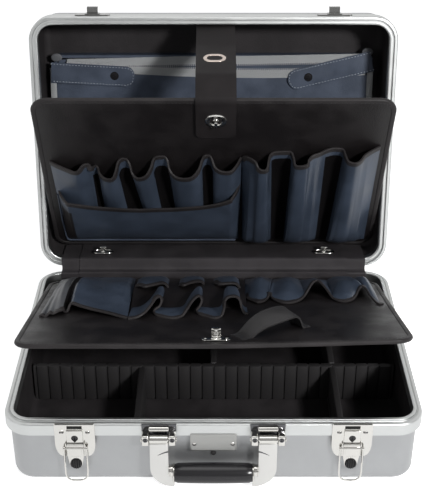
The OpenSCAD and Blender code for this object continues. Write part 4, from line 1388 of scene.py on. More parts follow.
left_strap, left_stud = snap_strap("left", (-221, 264.5), (-107, 258), (-135, 259.8), 1.0)
snap_strap("right", (215, 280), (102, 252), (129.3, 258), 1.6)
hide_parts("pouch_straps")
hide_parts("strap_snaps")
for side, s in ((-1, 284.5), (1, 292)):
    tab = spin([(0, 1.2), (5.5, 1.1), (6.6, 0.6), (6.9, 0), (0, 0)], 28)
    moved(tab, Matrix.Diagonal((1.1, 0.8, 1, 1)))
    piece(f"strap_tab_{'left' if side < 0 else 'right'}", tab, GREY_AND_SHEEN, "lid",
          LID @ shift(side * 211 - 2, s, POUCH_Z - 1.0))
print("snap straps are", STRAP_W, "mm wide")

# %% [markdown]
# ## Catches on the lid
#
# A wing plate with a raised block and an upturned hook that the bail pulls on. They are small
# castings, so the CAD solids are shown as they are, with their edges rounded by a modifier.

# %% Catches
for node in ("catch_left", "catch_right"):
    show_cad(node, CATCH, 0.3)
    print(node, "shown as the CAD has it")

# %% [markdown]
# ## Leather over the hinge
#
# Two layers of leathercloth cross the hinge: a wide cover that closes the gap, and over it the
# flap that carries two turn-locks. Both bend as the lid closes. Each is drawn once, as the lid
# stands, as one sheet from the base at one edge to the lid at the other, and rides on neither.

# %% Hinge leather
def lid_yz(s, t):
    p = LID @ Vector((0, s, -t))
    return Vector((0, p.y, p.z))


def hinge_sheet(name, width, off, top, node):
    """Sheet from the base's inner wall over both frames and up into the lid."""
    inner = CASE_D / 2 - FRAME_W - off
    path = [(0, inner, 78), (0, inner, 90 + off), (0, CASE_D / 2 - off - 1.5, 90 + off),
            lid_yz(14.5 + off, -2.9 - max(0, off - 0.9)), lid_yz(14.5 + off, top)]
    line = even(fillet(path, 2.2), 2.2)
    n = len(line) - 1

    def f(u, v):
        p = line[round(v * n)]
        x = width * (u - 0.5)
        slack = math.exp(-((p.z - 96) / 9) ** 2) * 0.8 * wave(x * 0.02, v * 3, width)
        return Vector((x + 0.6 * wave(v * 4, width, scale=1.7) * (2 * u - 1), p.y - slack,
                       p.z + 0.4 * slack))
    cloth = grid(90, n, f)
    ob = piece(name, thicken(cloth, 0.9), FLAP, None, BASE, [node])
    cut_from(ob, f, "stretched", ["base_lining", "lid_lining"])
    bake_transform(ob)


COVER_W, FLAP_W = 422, 372
hinge_sheet("hinge_cover_leather", COVER_W, 0.9, 50, "hinge_cover")
hinge_sheet("spine_flap_leather", FLAP_W, 2.2, 50, "spine_flap")
print("the flap leaves", (COVER_W - FLAP_W) / 2, "mm of the cover at each side")

# %% [markdown]
# ## Turn-locks
#
# A stamped oval plate with a raised collar and a key-shaped knob. Two sit on the hinge flap,
# one on the centre strap and one on the lower board. The plate is a slab, its lip a swept
# ring and its collar spun, as in the real lock, where they are three parts pressed together.

# %% Turn-locks on the flap
def lock_plate(w, d, h=1.0):
    plate = slab(rounded(w, d, d / 2 - 0.01, 10), 0, h, 0.35, 2)
    lip = sweep([(x, y, h + 0.2) for x, y in rounded(w - 1.6, d - 1.6, d / 2 - 0.82, 10)],
                circle(0.95, 10, 0.8), closed=True)
    rim = spin([(0, 2.9), (2.4, 3.0), (3.3, 2.6), (3.8, 1.6), (5.0, h), (5.0, 0.2), (0, 0.2)], 40)
    return joined(plate, lip, rim)


def lock_knob(h, bar):
    """Stem with a flat cross bar that thins to round ends."""
    stem = spin([(0, 0.4), (1.9, 0.4), (1.9, h - 3), (1.5, h - 2.4), (0, h - 2.4)], 24)
    head = slab(rounded(bar, 4, 1.9, 6), h - 3.4, h, 1.0, 3)
    return joined(stem, head)


flap_place = {side: LID @ shift(side * 155, 14.5 + 0.4 + 2.3 + 0.3, -16) @ turn_x(-math.pi / 2)
              for side in (-1, 1)}
plates = joined(*[moved(lock_plate(29, 15), flap_place[s]) for s in (-1, 1)])
piece("flap_lock_plates", plates, NICKEL, "lid", BASE, ["flap_turnlock_plates"])
for side, name in ((-1, "left"), (1, "right")):
    piece(f"flap_lock_knob_{name}", lock_knob(9, 10), NICKEL, f"flap_knob_{name}",
          flap_place[side], [f"flap_turnlock_{name}"])
print("turn-locks at", [round(v, 1) for v in flap_place[1].translation], "and mirrored")

# %% [markdown]
# ## A board that has sprung
#
# The lower board of this case has warped with age: its right-hand front corner stands some
# millimetres high. A lattice could bend it, but one formula for the lift also carries every
# pocket and fitting on the board, so each is drawn flat and lifted with it.

# %% Board tools
LIFT_AT_CORNER = 6.5


def sprung(p):
    """A place on the lower board after the board has warped."""
    out = Vector(p)
    reach = min(1.0, max(0.0, -out.y / LOW_LEN))
    out.z += LIFT_AT_CORNER * max(0.0, out.x / 225) ** 1.3 * reach ** 1.6
    return out


def upper_piece(name, bm, paint, body="tool_board_upper", **facts):
    return piece(name, bm, paint, body, UPPER, **facts)


def lower_piece(name, bm, paint, body="tool_board_lower", place=shift(0, 0, 0), **facts):
    """Piece of the lower board, drawn flat in the board's frame."""
    moved(bm, place)
    for v in bm.verts:
        v.co = sprung(v.co)
    return piece(name, bm, paint, body, LOWER, **facts)


print("the corner stands", round(sprung((225, -LOW_LEN, 0)).z, 1), "mm high")

# %% [markdown]
# ## Tool boards
#
# A board is stiff fibreboard covered with leathercloth, with a wide tape folded over its edge
# and sewn through. Its panel is a slab with a shallow step inside the tape, and planes cut it
# into strips so that it can bend. The tape is one section carried round the board.

# %% Panel, binding and seam
BOARD_R = 22


def board_mesh(length, middle):
    """Panel inside its binding, in strips so that it can bend."""
    t = BOARD_T / 2 - 0.35
    side = outline_loop(4.5, 0, middle, BOARD_W, length, BOARD_R, 8)
    bm = slab(side, -t + 0.2, t - 0.2, 0)
    bmesh.ops.inset_region(bm, faces=[f for f in bm.faces if abs(f.normal.z) > 0.9],
                           thickness=0.8, depth=0.2)
    for axis, low, step, n in ((0, -BOARD_W / 2, 25, 17), (1, middle - length / 2, 25, 12)):
        for k in range(1, n + 1):
            where, way = Vector(), Vector()
            where[axis], way[axis] = low + step * k, 1
            bmesh.ops.bisect_plane(bm, geom=bm.verts[:] + bm.edges[:] + bm.faces[:],
                                   plane_co=where, plane_no=way)
    return bm


def binding_mesh(length, middle, wide=6.5):
    """Tape folded over the edge: flat on both faces, round outside."""
    t = BOARD_T / 2
    half = [(wide, t - 0.2), (wide - 0.3, t + 0.25), (3.4, t + 0.4), (1.4, t + 0.1),
            (0.4, t - 0.9), (0, 0)]
    section = half + [(x, -z) for x, z in reversed(half[:-1])]
    bm = around(section, True, cy=middle, w=BOARD_W, d=length, r=BOARD_R, n=8)
    long_edges = [e for e in bm.edges if e.calc_length() > 100]
    bmesh.ops.subdivide_edges(bm, edges=long_edges, cuts=15)
    return bm


def edge_seam(length, middle, inset, z):
    loop = [(x, y, z) for x, y in outline_loop(inset, 0, middle, BOARD_W, length, BOARD_R, 8)]
    return stitches(even(loop + loop[:1], 3), pitch=4.6, length=3.0, r=0.3)


SEAM_IN, SEAM_OUT = 5.3, 2.85
for fit, name, length, middle in ((upper_piece, "upper", UP_LEN, UP_LEN / 2),
                                  (lower_piece, "lower", LOW_LEN, -LOW_LEN / 2)):
    fit(f"{name}_board_panel", board_mesh(length, middle), BOARD, replaces=[f"{name}_board"])
    fit(f"{name}_board_binding", binding_mesh(length, middle), BINDING,
        replaces=[f"{name}_binding"], slot="board_leather")
    seams = [edge_seam(length, middle, SEAM_IN, z) for z in (SEAM_OUT, -SEAM_OUT)]
    fit(f"{name}_board_seam", joined(*seams), DARK_THREAD)
print("boards", BOARD_W, "mm wide,", UP_LEN, "and", LOW_LEN, "mm long")

# %% [markdown]
# ## Hinge of the lower board
#
# A strip of doubled leathercloth is sewn under the board's rear edge and glued to the wall
# behind it. It is nearly flat, so a grid with a little unevenness is enough.

# %% Leather hinge
def hinge_strip(u, v):
    return Vector((372 * (u - 0.5), 1 - v * 10, 1.1 + 0.25 * wave(u * 9, v)))


strip = piece("lower_hinge_leather", thicken(grid(60, 8, hinge_strip), 2.0), FLAP, "board_strip",
              STRIP, ["lower_hinge_strip"])
cut_from(strip, hinge_strip, "stretched", ["lower_board_panel"])
print("the strip has", len(strip.data.vertices), "points")

# %% [markdown]
# ## Centre strap with its eyelets
#
# A strap of doubled leathercloth runs from the lid's front wall over the board's edge and
# stops the board at its angle. Its line is filleted where it turns over an edge. One end lies on
# the lid and the other on the board; it is drawn once where they stand and rides on neither.

# %% Centre strap
STRAP_X, KNOB_R, STRAP_END = 3, 266, 234


def upper_yz(r, h):
    p = UPPER @ Vector((0, r, h))
    return Vector((0, p.y, p.z))


def strap_line():
    lift = BOARD_T / 2 + 1.8
    wall = CASE_D + 3.5 - FRAME_W
    return [lid_yz(wall - 1.5, 26), lid_yz(wall - 2.5, 7), lid_yz(wall - 7, -6),
            lid_yz(wall - 21, -34), upper_yz(UP_LEN + 14, -24), upper_yz(UP_LEN + 4.5, -4),
            upper_yz(UP_LEN + 2.2, lift - 1.6), upper_yz(UP_LEN - 3, lift),
            upper_yz(KNOB_R, lift), upper_yz(STRAP_END, lift)]


def strap_mesh():
    line = even(fillet(strap_line(), 5, 5), 2.5)
    n, half = len(line) - 1, 25

    def f(u, v):
        i = round(v * n)
        p, k = line[i], 2 * u - 1
        left = (n - i) * 2.5
        w = half - (9 - math.sqrt(max(0, 81 - (9 - left) ** 2))) if left < 9 else half
        dip = 0.5 * math.sin(math.pi * v * 1.3) * wave(k * 1.3, v * 5)
        return Vector((STRAP_X + w * k, p.y + 0.4 * dip, p.z - dip * 0.6))
    return thicken(grid(20, n, f), 1.8), f, n


strap, strap_f, strap_n = strap_mesh()
centre_strap = piece("centre_strap_leather", strap, STRAP, None, BASE, ["centre_strap"])
cut_from(centre_strap, strap_f, "hung", ["upper_board_panel"])
seam = []
for k in (0.055, 0.945):
    seam.append(stitches([strap_f(k, i / strap_n) + Vector((0, -0.15, 0.1))
                          for i in range(strap_n - 4)], up=(0, -0.8, 0.6), r=0.3))
strap_seam = piece("centre_strap_seam", joined(*seam), DARK_THREAD, None, BASE)
print("the strap is drawn in", strap_n, "steps")

# %% [markdown]
# ## Eyelets and lock of the centre strap
#
# Two pressed oval eyelets: one holds the board's turn-lock, the other waits for the board's
# folded position. A flattened circle swept round an oval gives the pressed ring, and the free
# one is laid on the strap by a frame worked out from the strap's own direction.

# %% Eyelets
def eyelet(w, d, r=2.3):
    """Pressed oval ring with a slotted middle."""
    oval = [(x, y, 0.9) for x, y in rounded(w - 2 * r, d - 2 * r, (d - 2 * r) / 2 - 0.01, 10)]
    ring = sweep(oval, circle(r, 12, 0.55), closed=True)
    dish = slab(rounded(w - 2 * r, d - 2 * r, (d - 2 * r) / 2 - 0.01, 8), 0.2, 0.7, 0)
    return joined(ring, dish)


free_a, free_b = lid_yz(CASE_D + 3.5 - FRAME_W - 21, -34), upper_yz(UP_LEN + 14, -24)
free = free_a.lerp(free_b, 0.45)
way = (free_b - free_a).normalized()
face = Vector((0, way.z, -way.y))
face = face if face.y < 0 else -face
tilt = Matrix(((1, 0, 0), (0, -way.y, face.y), (0, -way.z, face.z))).to_4x4()
free_place = Matrix.Translation(free + Vector((STRAP_X - 1.5, 0, 0)) + face * 0.6) @ tilt
free_ring = piece("strap_eyelet_free", eyelet(29, 21, 2.5), COPPER, None, free_place)
free_slot = piece("strap_eyelet_slot", slab(rounded(15, 4.2, 2.0, 6), 0.6, 1.0, 0), HOLE, None,
                  free_place)
for ob in (centre_strap, strap_seam, free_ring, free_slot):
    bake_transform(ob)
lock_at = UPPER @ shift(STRAP_X, KNOB_R, BOARD_T / 2 + 2.6)
hub = spin([(0, 1.6), (3.0, 1.6), (3.8, 0.6), (0, 0.5)], 28)
piece("strap_eyelet_used", joined(eyelet(27, 23, 3.0), hub), NICKEL, "tool_board_upper",
      lock_at, ["upper_turnlock_plate"])
piece("strap_lock_knob", lock_knob(9, 11), NICKEL, "upper_knob",
      lock_at @ turn_z(math.pi / 2), ["upper_turnlock_knob"])
print("the free eyelet is at", [round(v, 1) for v in free])

# %% [markdown]
# ## Lift strap
#
# The lift strap is sewn down at both ends and stands up between them as an arch that leans a
# little to one side. A smooth curve through a few heights gives the arch, and its cross
# direction is turned as it goes, as real leather does when its ends aren't sewn square.

# %% Lift strap
def lift_strap():
    line = [(-51, 0.5), (-44, 0.6), (-38, 2.5), (-30, 8), (-20, 13), (-8, 16.5), (6, 18.6),
            (16, 19.4), (24, 19), (29, 15.5), (32.5, 8), (35.5, 1.6), (44, 0.5)]
    path = even(smooth_path([(x, 0, z) for x, z in line], 6), 2.4)
    n = len(path) - 1

    def f(u, v):
        p, k = path[round(v * n)], 2 * u - 1
        twist = 5.2 * k * math.sin(math.pi * v) ** 1.5
        return Vector((p.x, 13.2 * k * (1 - 0.05 * math.cos(math.pi * v)), p.z + twist
                       - 0.5 * k * k))
    cloth = grid(10, n, f)
    bmesh.ops.reverse_faces(cloth, faces=cloth.faces)
    sides = [stitches([f(k, i / n) + Vector((0, 0, 0.2)) for i in range(n + 1)],
                      up=(0, 0, 1), r=0.3) for k in (0.1, 0.9)]
    return thicken(cloth, 2.0), joined(*sides), f


loop_place = shift(69, -251, BOARD_T / 2 + 0.35) @ turn_z(math.radians(33))
strap_bm, strap_threads, lift_f = lift_strap()
lift = lower_piece("lift_strap_leather", strap_bm, LIFT, place=loop_place,
                   replaces=["lift_loop"])
cut_from(lift, lift_f, "stretched", ["lower_board_panel"])
lower_piece("lift_strap_threads", strap_threads, DARK_THREAD, place=loop_place)
print("the arch stands", round(max(v.co.z for v in lift.data.vertices), 3), "m above the floor")

# %% [markdown]
# ## Turn-lock of the lower board
#
# A ribbed round button on an oval plate with two rivets. The button is spun, and eighteen
# small blocks turned about its axis make the ribs, so that fingers can grip it.

# %% Button knob and plate
def button_knob():
    """Round knob with upright ribs, a groove and a domed top."""
    core = spin([(0, 0.6), (3.4, 0.6), (3.4, 3.2), (5.2, 3.6), (5.4, 4.4), (4.7, 5.2),
                 (4.7, 10.2), (5.3, 10.8), (5.6, 12.4), (4.9, 13.6), (3.2, 14.2), (0, 14.4)], 40)
    ribs = [moved(block((4.4, -0.42, 5.0), (5.35, 0.42, 10.4), 0.15),
                  turn_z(math.radians(20 * k))) for k in range(18)]
    return joined(core, *ribs)


low_lock = shift(STRAP_X, -286, BOARD_T / 2)
plate = joined(slab(rounded(33, 14, 6.9, 8), 0, 1.5, 0.5, 2),
               spin([(0, 2.6), (5.4, 2.5), (6.2, 1.6), (6.2, 0.3), (0, 0.3)], 36),
               rivet(-12, 0, 1.4, 1.8, 0.8), rivet(12, 0, 1.4, 1.8, 0.8))
lower_piece("lower_lock_plate", plate, NICKEL, place=low_lock,
            replaces=["lower_turnlock_plate"])
lower_piece("lower_lock_knob", button_knob(), NICKEL, "lower_knob", low_lock,
            replaces=["lower_turnlock_knob"])
print("the button is", round(14.4 - 0.6, 1), "mm high")

# %% [markdown]
# ## How a row of pockets is drawn
#
# Each row of pockets is one strip of slate leathercloth, sewn to the board at its seams and
# left slack between them, so it stands off in waves. Cloth simulation could drape it, but it
# would settle differently on every run. The strip is drawn between two lines, its mouth and
# its foot, because that is how it is cut: the mouth is longer, and so the pockets stand open.

# %% Lines and strips
def line(points, steps=8):
    """Smooth curve through points as a function of u from 0 to 1."""
    pts = even(smooth_path(points, steps), 2.0)
    n = len(pts) - 1

    def at_(u):
        i = min(int(u * n), n - 1)
        return pts[i].lerp(pts[i + 1], u * n - i)
    return at_


def strip_between(foot, mouth, bulge, ripple=0.7, seed=0.0):
    """Surface from a foot line to a mouth line, blown out by bulge(u, v)."""
    def f(u, v):
        p = foot(u).lerp(mouth(u), v)
        rough = ripple * wave(p.x * 0.045, p.y * 0.03, seed) * math.sin(math.pi * min(1, v * 1.1))
        return Vector((p.x, p.y, p.z + bulge(u, v) + rough))
    return f


def height_at(curve, x, x0, x1):
    """Second coordinate of a curve at the place x between its ends."""
    return curve(min(1, max(0, (x - x0) / (x1 - x0)))).y


print("a line from 0 to 10 has its middle at", round(line([(0, 0, 0), (10, 0, 0)])(0.5).x, 1))

# %% [markdown]
# ## Bound edges and finished rows
#
# The free edge of a row has a black tape folded over it and sewn through, which keeps the cut
# edge from fraying. Its section is lofted along the mouth. The strip's hidden faces show the
# board's black, and where it dips to the board between two pockets it is painted near-black,
# which is painted shade in the deep valleys.

# %% Binding and row
def mouth_binding(f, n, wide=6.0, thick=1.1, v1=1.0, v0=0.97):
    """Tape folded over the free edge of a strip."""
    rings = []
    half = [(-wide, 0.35), (-wide + 0.4, 0.75), (0.3, 0.8), (0.9, 0.3)]
    section = half + [(0.9, -thick - 0.3), (0.3, -thick - 0.8), (-wide + 0.4, -thick - 0.75),
                      (-wide, -thick - 0.35)]
    for i in range(n + 1):
        u = i / n
        p = f(u, v1)
        along = (f(min(1, u + 0.004), v1) - f(max(0, u - 0.004), v1)).normalized()
        out = p - f(u, v0)
        out = (out - along * out.dot(along)).normalized()
        up = along.cross(out)
        rings.append([p + out * a + up * b for a, b in section])
    return loft(rings, cap=True)


def pocket_row(name, f, fit, nu, nv, replaces=(), tone=lambda u, v: 0):
    """The strip and its binding, fitted to the upper or the lower board, with the strip's cut size
    printed.

    tone(u, v) picks the front's leather: 0 slate, 1 the board's black, 2 near-black painted shade,
    3 a lighter grey that is painted sheen.
    """
    cloth, lower = grid(nu, nv, f), fit is lower_piece
    if lower:
        bmesh.ops.reverse_faces(cloth, faces=cloth.faces)
    count = len(cloth.faces)
    thicken(cloth, 1.1)
    cloth.faces.ensure_lookup_table()
    for i, face_ in enumerate(cloth.faces):
        face_.material_index = tone((i % nu + 0.5) / nu, (i // nu + 0.5) / nv) if i < count else 1
    edge = mouth_binding((lambda u, v: f(1 - u, v)) if lower else f, nu)
    strip = fit(name, cloth, [SLATE, BOARD, PAINTED_SHADE, GREY_AND_SHEEN], replaces=replaces)
    edge = fit(name + "_binding", edge, BINDING)
    cut_from(strip, f, "stretched", ["lower_board_panel" if lower else "upper_board_panel"],
             with_pieces=[edge])


def painted_shade_tone(mouth, low, v_top):
    """Painted shade: near-black where the strip dips to the board between two pockets."""
    return lambda u, v: 2 if mouth(u).z < low and 0.12 < u < 0.94 and v < v_top else 0


print("leathers of a strip", [m.name for m in (SLATE, BOARD, PAINTED_SHADE, GREY_AND_SHEEN)])

# %% [markdown]
# ## Loops of the upper board
#
# Five loops of different widths stand at the back of the left-hand side. Their mouth is one
# curve of (x, distance from the fold, height off the board), and their foot is the same curve
# drawn in towards the board and leaned a little, so the loops narrow downwards.

# %% Tool loops
LOOPS = [(-212, 185, 3.2), (-204, 184, 8), (-190, 182, 14), (-180, 180, 17), (-174, 183, 17),
         (-168, 190, 14), (-162, 190, 12), (-157.5, 184, 11.5), (-155, 179, 6),
         (-152.5, 176, 3.5), (-150.5, 174, 6), (-149, 173, 12), (-144, 171, 18),
         (-136, 170, 21), (-130, 172, 20), (-126, 180, 15), (-123, 188, 7),
         (-119, 191, 3.5), (-113, 190, 3.5), (-109, 184, 7), (-106, 176, 15), (-100, 173, 21),
         (-93, 174, 22), (-86, 178, 20), (-80, 186, 13), (-77, 192, 5), (-72, 195, 3.2),
         (-64, 195, 3.2), (-60, 191, 6), (-57, 182, 15), (-50, 176, 21), (-40, 175, 24),
         (-28, 179, 25), (-19, 188, 20), (-14, 196, 9), (-11, 197, 3.5), (-5, 197, 3.5),
         (-2, 194, 9), (2, 189, 17), (10, 186, 21), (22, 187, 22), (30, 190, 14), (36, 194, 4)]
loop_mouth = line(LOOPS)
LEAN_RIGHT = line([(-212, 3, 0), (-160, 1, 0), (-130, 7, 0), (-115, 15, 0), (-90, 11, 0),
                   (-66, 9, 0), (-30, 3, 0), (0, 1, 0), (36, 0, 0)])


def loop_foot(u):
    p = loop_mouth(u)
    return Vector((p.x + height_at(LEAN_RIGHT, p.x, -212, 36), 72, 3 + (p.z - 3) * 0.55))


loops = strip_between(loop_foot, loop_mouth, lambda u, v: 0, 0.6, 1.0)
pocket_row("tool_loops_strip", loops, upper_piece, 320, 20, ["tool_loops"],
           painted_shade_tone(loop_mouth, 11, 0.87))
print("the loops' mouth is drawn through", len(LOOPS), "points")

# %% [markdown]
# ## Long pocket
#
# One long flat pocket in front of the loops, with piping round its left side and foot. Its
# panel rises from the board at its sides and foot and sags between the tools it would hold,
# which a formula says more simply than a modelled surface.

# %% Long pocket
LONG_LEFT, LONG_RIGHT, LONG_FOOT = -207, 35, 15.5
LONG_W = LONG_RIGHT - LONG_LEFT
LONG_TOPS = line([(-207, 127, 0), (-150, 117, 0), (-88, 109, 0), (-30, 116, 0), (8, 124, 0),
                  (26, 133, 0), (35, 141, 0)])


def long_pocket(u, v):
    x = LONG_LEFT + LONG_W * u
    r = LONG_FOOT + (height_at(LONG_TOPS, x, LONG_LEFT, LONG_RIGHT) - LONG_FOOT) * v
    side = min(1, (u * LONG_W / 13)) ** 0.6 * min(1, ((1 - u) * LONG_W / 12)) ** 0.6
    foot = 1 - math.exp(-v * 9)
    sag = 1.6 * math.sin(3 * math.pi * u) * v + 1.2 * wave(x * 0.03, r * 0.02)
    return Vector((x, r, 3.1 + side * foot * (8 + 14 * v ** 0.7 + sag)))


# Its folded left end is painted the board's black, which is painted shade in the fold.
pocket_row("long_pocket_panel", long_pocket, upper_piece, 150, 24, ["long_pocket"],
           lambda u, v: 1 if u < 0.065 and v < 0.8 else 0)
piping = sweep([(-209, 118, 3.6), (-209, 60, 3.6)] + [(-207 + 2 * math.sin(k), 18 - k, 3.6)
               for k in (0, 1, 2, 3)] + [(-203 + 9 * k, 14 + 0.8 * wave(k, 1), 3.8)
               for k in range(27)], circle(1.3, 8), up=(0, 0, 1))
upper_piece("long_pocket_piping", piping, POUCH, slot="slate_leather")
print("the long pocket is", LONG_W, "mm wide")

# %% [markdown]
# ## Tall pockets
#
# Three tall pockets fill the right-hand side, each taller than the last. Each comes to a
# narrow foot, so a second line says where every place of the mouth is sewn down below.

# %% Tall pockets
TALL = [(36, 191, 3.2), (38.5, 198, 6), (45, 202, 11), (53, 202, 18), (57.5, 197, 25),
        (64, 194, 26), (69, 196, 24), (71, 200, 16), (73, 203, 8), (78, 204, 4), (89, 204.5, 3.2),
        (99, 204.5, 4), (102, 203, 13), (104, 201, 23), (112, 202, 25.5), (120, 203.5, 24),
        (122, 207, 19), (126.5, 210.5, 15), (136, 211, 11), (145, 211.5, 6), (155, 211.5, 3.4),
        (165, 210, 4), (167.5, 209.5, 13), (171, 208.5, 23), (180, 208.5, 26), (187, 210, 23),
        (192.5, 214, 17), (202, 215, 10), (213, 214.8, 3.2)]
tall_mouth = line(TALL)
TALL_FEET = line([(36, 40, 0), (54, 46, 0), (64, 62, 0), (69, 86, 0), (73, 90.5, 0), (78, 92, 0),
                  (89, 95.5, 0), (99, 98, 0), (104, 101, 0), (112, 112, 0), (120, 126, 0),
                  (145, 145, 0), (158, 149, 0), (165, 151, 0), (171, 158, 0), (187, 190, 0),
                  (213, 213, 0)])


def tall_pocket(u, v):
    p = tall_mouth(u)
    low_x = height_at(TALL_FEET, p.x, 36, 213)
    deep = max(0, (p.z - 3.2) / 22)
    k = max(0, 1 - v) ** 0.8
    even_ = max(deep, 0.9 * min(1, deep * 2.2)) * k + deep * (1 - k)
    full = even_ * (22 + 2.0 * math.sin(math.pi * v)) * (1 - math.exp(-v * 15))
    foot = 15.5 - 4.5 * even_ * math.exp(-v * 12)
    fold = 1.1 * wave(p.x * 0.05, v * 2.2, 4.0) * math.sin(math.pi * min(1, v * 1.1)) * deep
    return Vector((p.x + (low_x - p.x) * (1 - v), foot + (p.y - foot) * v, 3.2 + full + fold))


pocket_row("tall_pockets_strip", tall_pocket, upper_piece, 230, 44, ["tall_pockets"],
           painted_shade_tone(tall_mouth, 6.5, 0.93))
print("the tall pockets' mouth is drawn through", len(TALL), "points")

# %% [markdown]
# ## Wide pocket of the lower board
#
# The wide pocket on the left has a pleated side that stands open, a sewn fold and a slack
# panel. Ridge, pleats, fold and body are four terms of one height, because each can then be
# moved without disturbing the others. The pleated side is painted a lighter grey, which is
# painted sheen, and the sewn fold is painted near-black, which is painted shade.

# %% Wide pocket
def straight_foot(x0, x1, r, h):
    return lambda u: Vector((x0 + (x1 - x0) * u, -r, h))


def low_line(points):
    return line([(x, -r, h) for x, r, h in points])


LEFT = low_line([(-212, 187, 3), (-204, 186.5, 4.5), (-195, 184, 6.5), (-189, 181, 8),
                 (-184, 177, 8.5), (-182, 173, 5), (-180, 168, 5), (-177, 164, 12),
                 (-172, 166, 13), (-164, 170, 11.5), (-150, 177, 9.5), (-130, 185, 7),
                 (-112, 194, 4.5), (-104, 197, 3.2)])


def left_bulge(u, v):
    x = LEFT(u).x
    ridge = math.exp(-((x + 184) / 11) ** 2) * 7 * math.sin(math.pi * v ** 1.4)
    pleat = 1.7 * math.sin((x + 212) * 0.62) * math.exp(-((x + 203) / 9) ** 2) * v
    body = 11 * math.sin(math.pi * min(1, 0.12 + v * 0.93)) * min(1, (x + 213) / 20) * min(
        1, (-101 - x) / 12) ** 0.7
    fold = -9.5 * math.exp(-((x + 182.0 + 7 * (1 - v)) / 4.2) ** 2) * v ** 0.6 * (1 - v ** 6)
    return ridge + pleat + fold + max(0, body)


left = strip_between(straight_foot(-208, -106, 11, 6), LEFT, left_bulge, 1.6, 7.0)
# Painted: the pleated side's lighter grey is sheen, and the near-black fold beside it is shade.
pocket_row("wide_pocket_panel", left, lower_piece, 140, 40, ["lower_pockets"],
           lambda u, v: 3 if LEFT(u).x < -185 else 2 if LEFT(u).x < -179 else 0)
print("the wide pocket's mouth runs from", round(LEFT(0).x), "to", round(LEFT(1).x))

# %% [markdown]
# ## Front and rear loops of the lower board
#
# Three loops stand in front, each with a raised tongue between flat cups, and three arches
# stand behind them. Their mouths double back on themselves, so both rows are drawn by a line
# through places rather than by a height above x.

# %% Two rows of loops
FRONT_ROW = low_line([(-103, 199, 3.2), (-92, 196, 4.5), (-83, 190, 9), (-76, 177, 15),
                      (-71, 165, 20), (-66, 160, 20.5), (-63.5, 163, 16), (-66, 168, 10),
                      (-72, 173, 6.5), (-71, 182, 4.3), (-65, 189, 3.4), (-51, 197, 3.2),
                      (-39, 192, 4.5), (-33, 184, 10), (-27, 168, 16), (-21, 159, 20),
                      (-16.5, 157, 20.5), (-14, 160, 16), (-16, 166, 10), (-20, 172, 6),
                      (-17, 182, 4.2), (-9, 189, 3.4), (0, 197, 3.2), (9, 192, 4.5),
                      (12.5, 182, 11), (14, 168, 17), (19, 162, 20.5), (28, 160, 20.5),
                      (33, 162, 16), (35, 170, 9), (38, 178, 4.5), (42, 180, 3.2)])


def front_foot(u):
    p = FRONT_ROW(u)
    k = min(1, max(0, (p.z - 3) / 17))
    return Vector((p.x * 0.985, -(148 - 44 * k), 3.1 + (p.z - 3.1) * 0.96))


loops_front = strip_between(front_foot, FRONT_ROW, lambda u, v: 0.9 * math.sin(math.pi * v),
                            0.5, 9.0)
pocket_row("lower_loops_front", loops_front, lower_piece, 300, 14)

REAR_ROW = low_line([(-104, 88, 3.2), (-103, 84, 12), (-97, 93, 18), (-88, 107, 20.5),
                     (-76, 98, 21), (-64, 87, 20), (-58, 89, 14), (-56, 92, 6), (-52, 92, 3.4),
                     (-48, 90, 6), (-45.5, 82, 14), (-39, 96, 19.5), (-30, 89, 21),
                     (-20, 79, 20.5), (-13, 74, 17), (-10, 80, 9), (-6, 84, 3.4), (-2, 80, 7),
                     (0, 72, 15), (6, 91, 19.5), (16, 93, 21), (28, 91, 20.5), (35, 89, 14),
                     (38, 90, 6), (41, 90, 3.2)])


def rear_foot(u):
    p = REAR_ROW(u)
    return Vector((p.x, -(36 + 0.1 * (-p.y)), 3.1 + (p.z - 3.1) * 0.92))


loops_rear = strip_between(rear_foot, REAR_ROW, lambda u, v: 0.8 * math.sin(math.pi * v),
                           0.5, 11.0)
pocket_row("lower_loops_rear", loops_rear, lower_piece, 240, 14)
print("mouths", round(REAR_ROW(0.5).y - FRONT_ROW(0.5).y), "mm apart in the middle")

# %% [markdown]
# ## Backing behind the loops
#
# A plain black sheet stands in a low arch behind the front loops and closes them at the back.
# It is one bowed grid, since it has no seams of its own.

# %% Backing
def loop_backing(u, v):
    x, r = -103 + 144 * u, 14 + 132 * v
    h = 3.2 + 12.5 * math.sin(math.pi * min(1, 0.1 + v * 0.92)) ** 0.8
    return Vector((x, -r, h + 1.1 * wave(x * 0.07, r * 0.02) * math.sin(math.pi * v)))


backing = thicken(grid(70, 26, lambda u, v: loop_backing(1 - u, v)), 1.1)
backing = lower_piece("lower_loops_backing", backing, BOARD)
cut_from(backing, loop_backing, "stretched", ["lower_board_panel"])
print("the backing stands", round(max(loop_backing(0.5, k / 20).z for k in range(21)), 1), "mm off")

# %% [markdown]
# ## Short pockets
#
# On the right the pockets lie pressed to the board at their mouths, with one standing open
# between them. The seams divide one strip, and between two seams the strip stands off in a
# flat-topped arch, as a sewn pocket does.

# %% Short pockets
RIGHT = low_line([(40, 84, 3.2), (42, 103, 4), (48, 117, 4.5), (56, 128, 5), (64, 124, 5.5),
                  (69, 112, 7), (71, 101, 10), (73, 98, 10), (75, 108, 6), (80, 120, 4.6),
                  (89, 130, 4.4), (101, 128, 4.6), (111, 119, 6), (117, 108, 9), (123, 94, 14),
                  (129, 80, 18.5), (135.5, 73, 20.5), (141, 82, 18.5), (147, 97, 13),
                  (153, 112, 6.5), (160, 122, 4.6), (168, 125, 4.5), (177, 119, 5.5),
                  (183, 107, 8.5), (187, 98, 13), (192, 94, 17), (197, 100, 15),
                  (201, 118, 9), (206, 132, 4.5), (210, 138, 3.2)])
RIGHT_SEAMS = [40, 72, 118, 153, 196, 211]


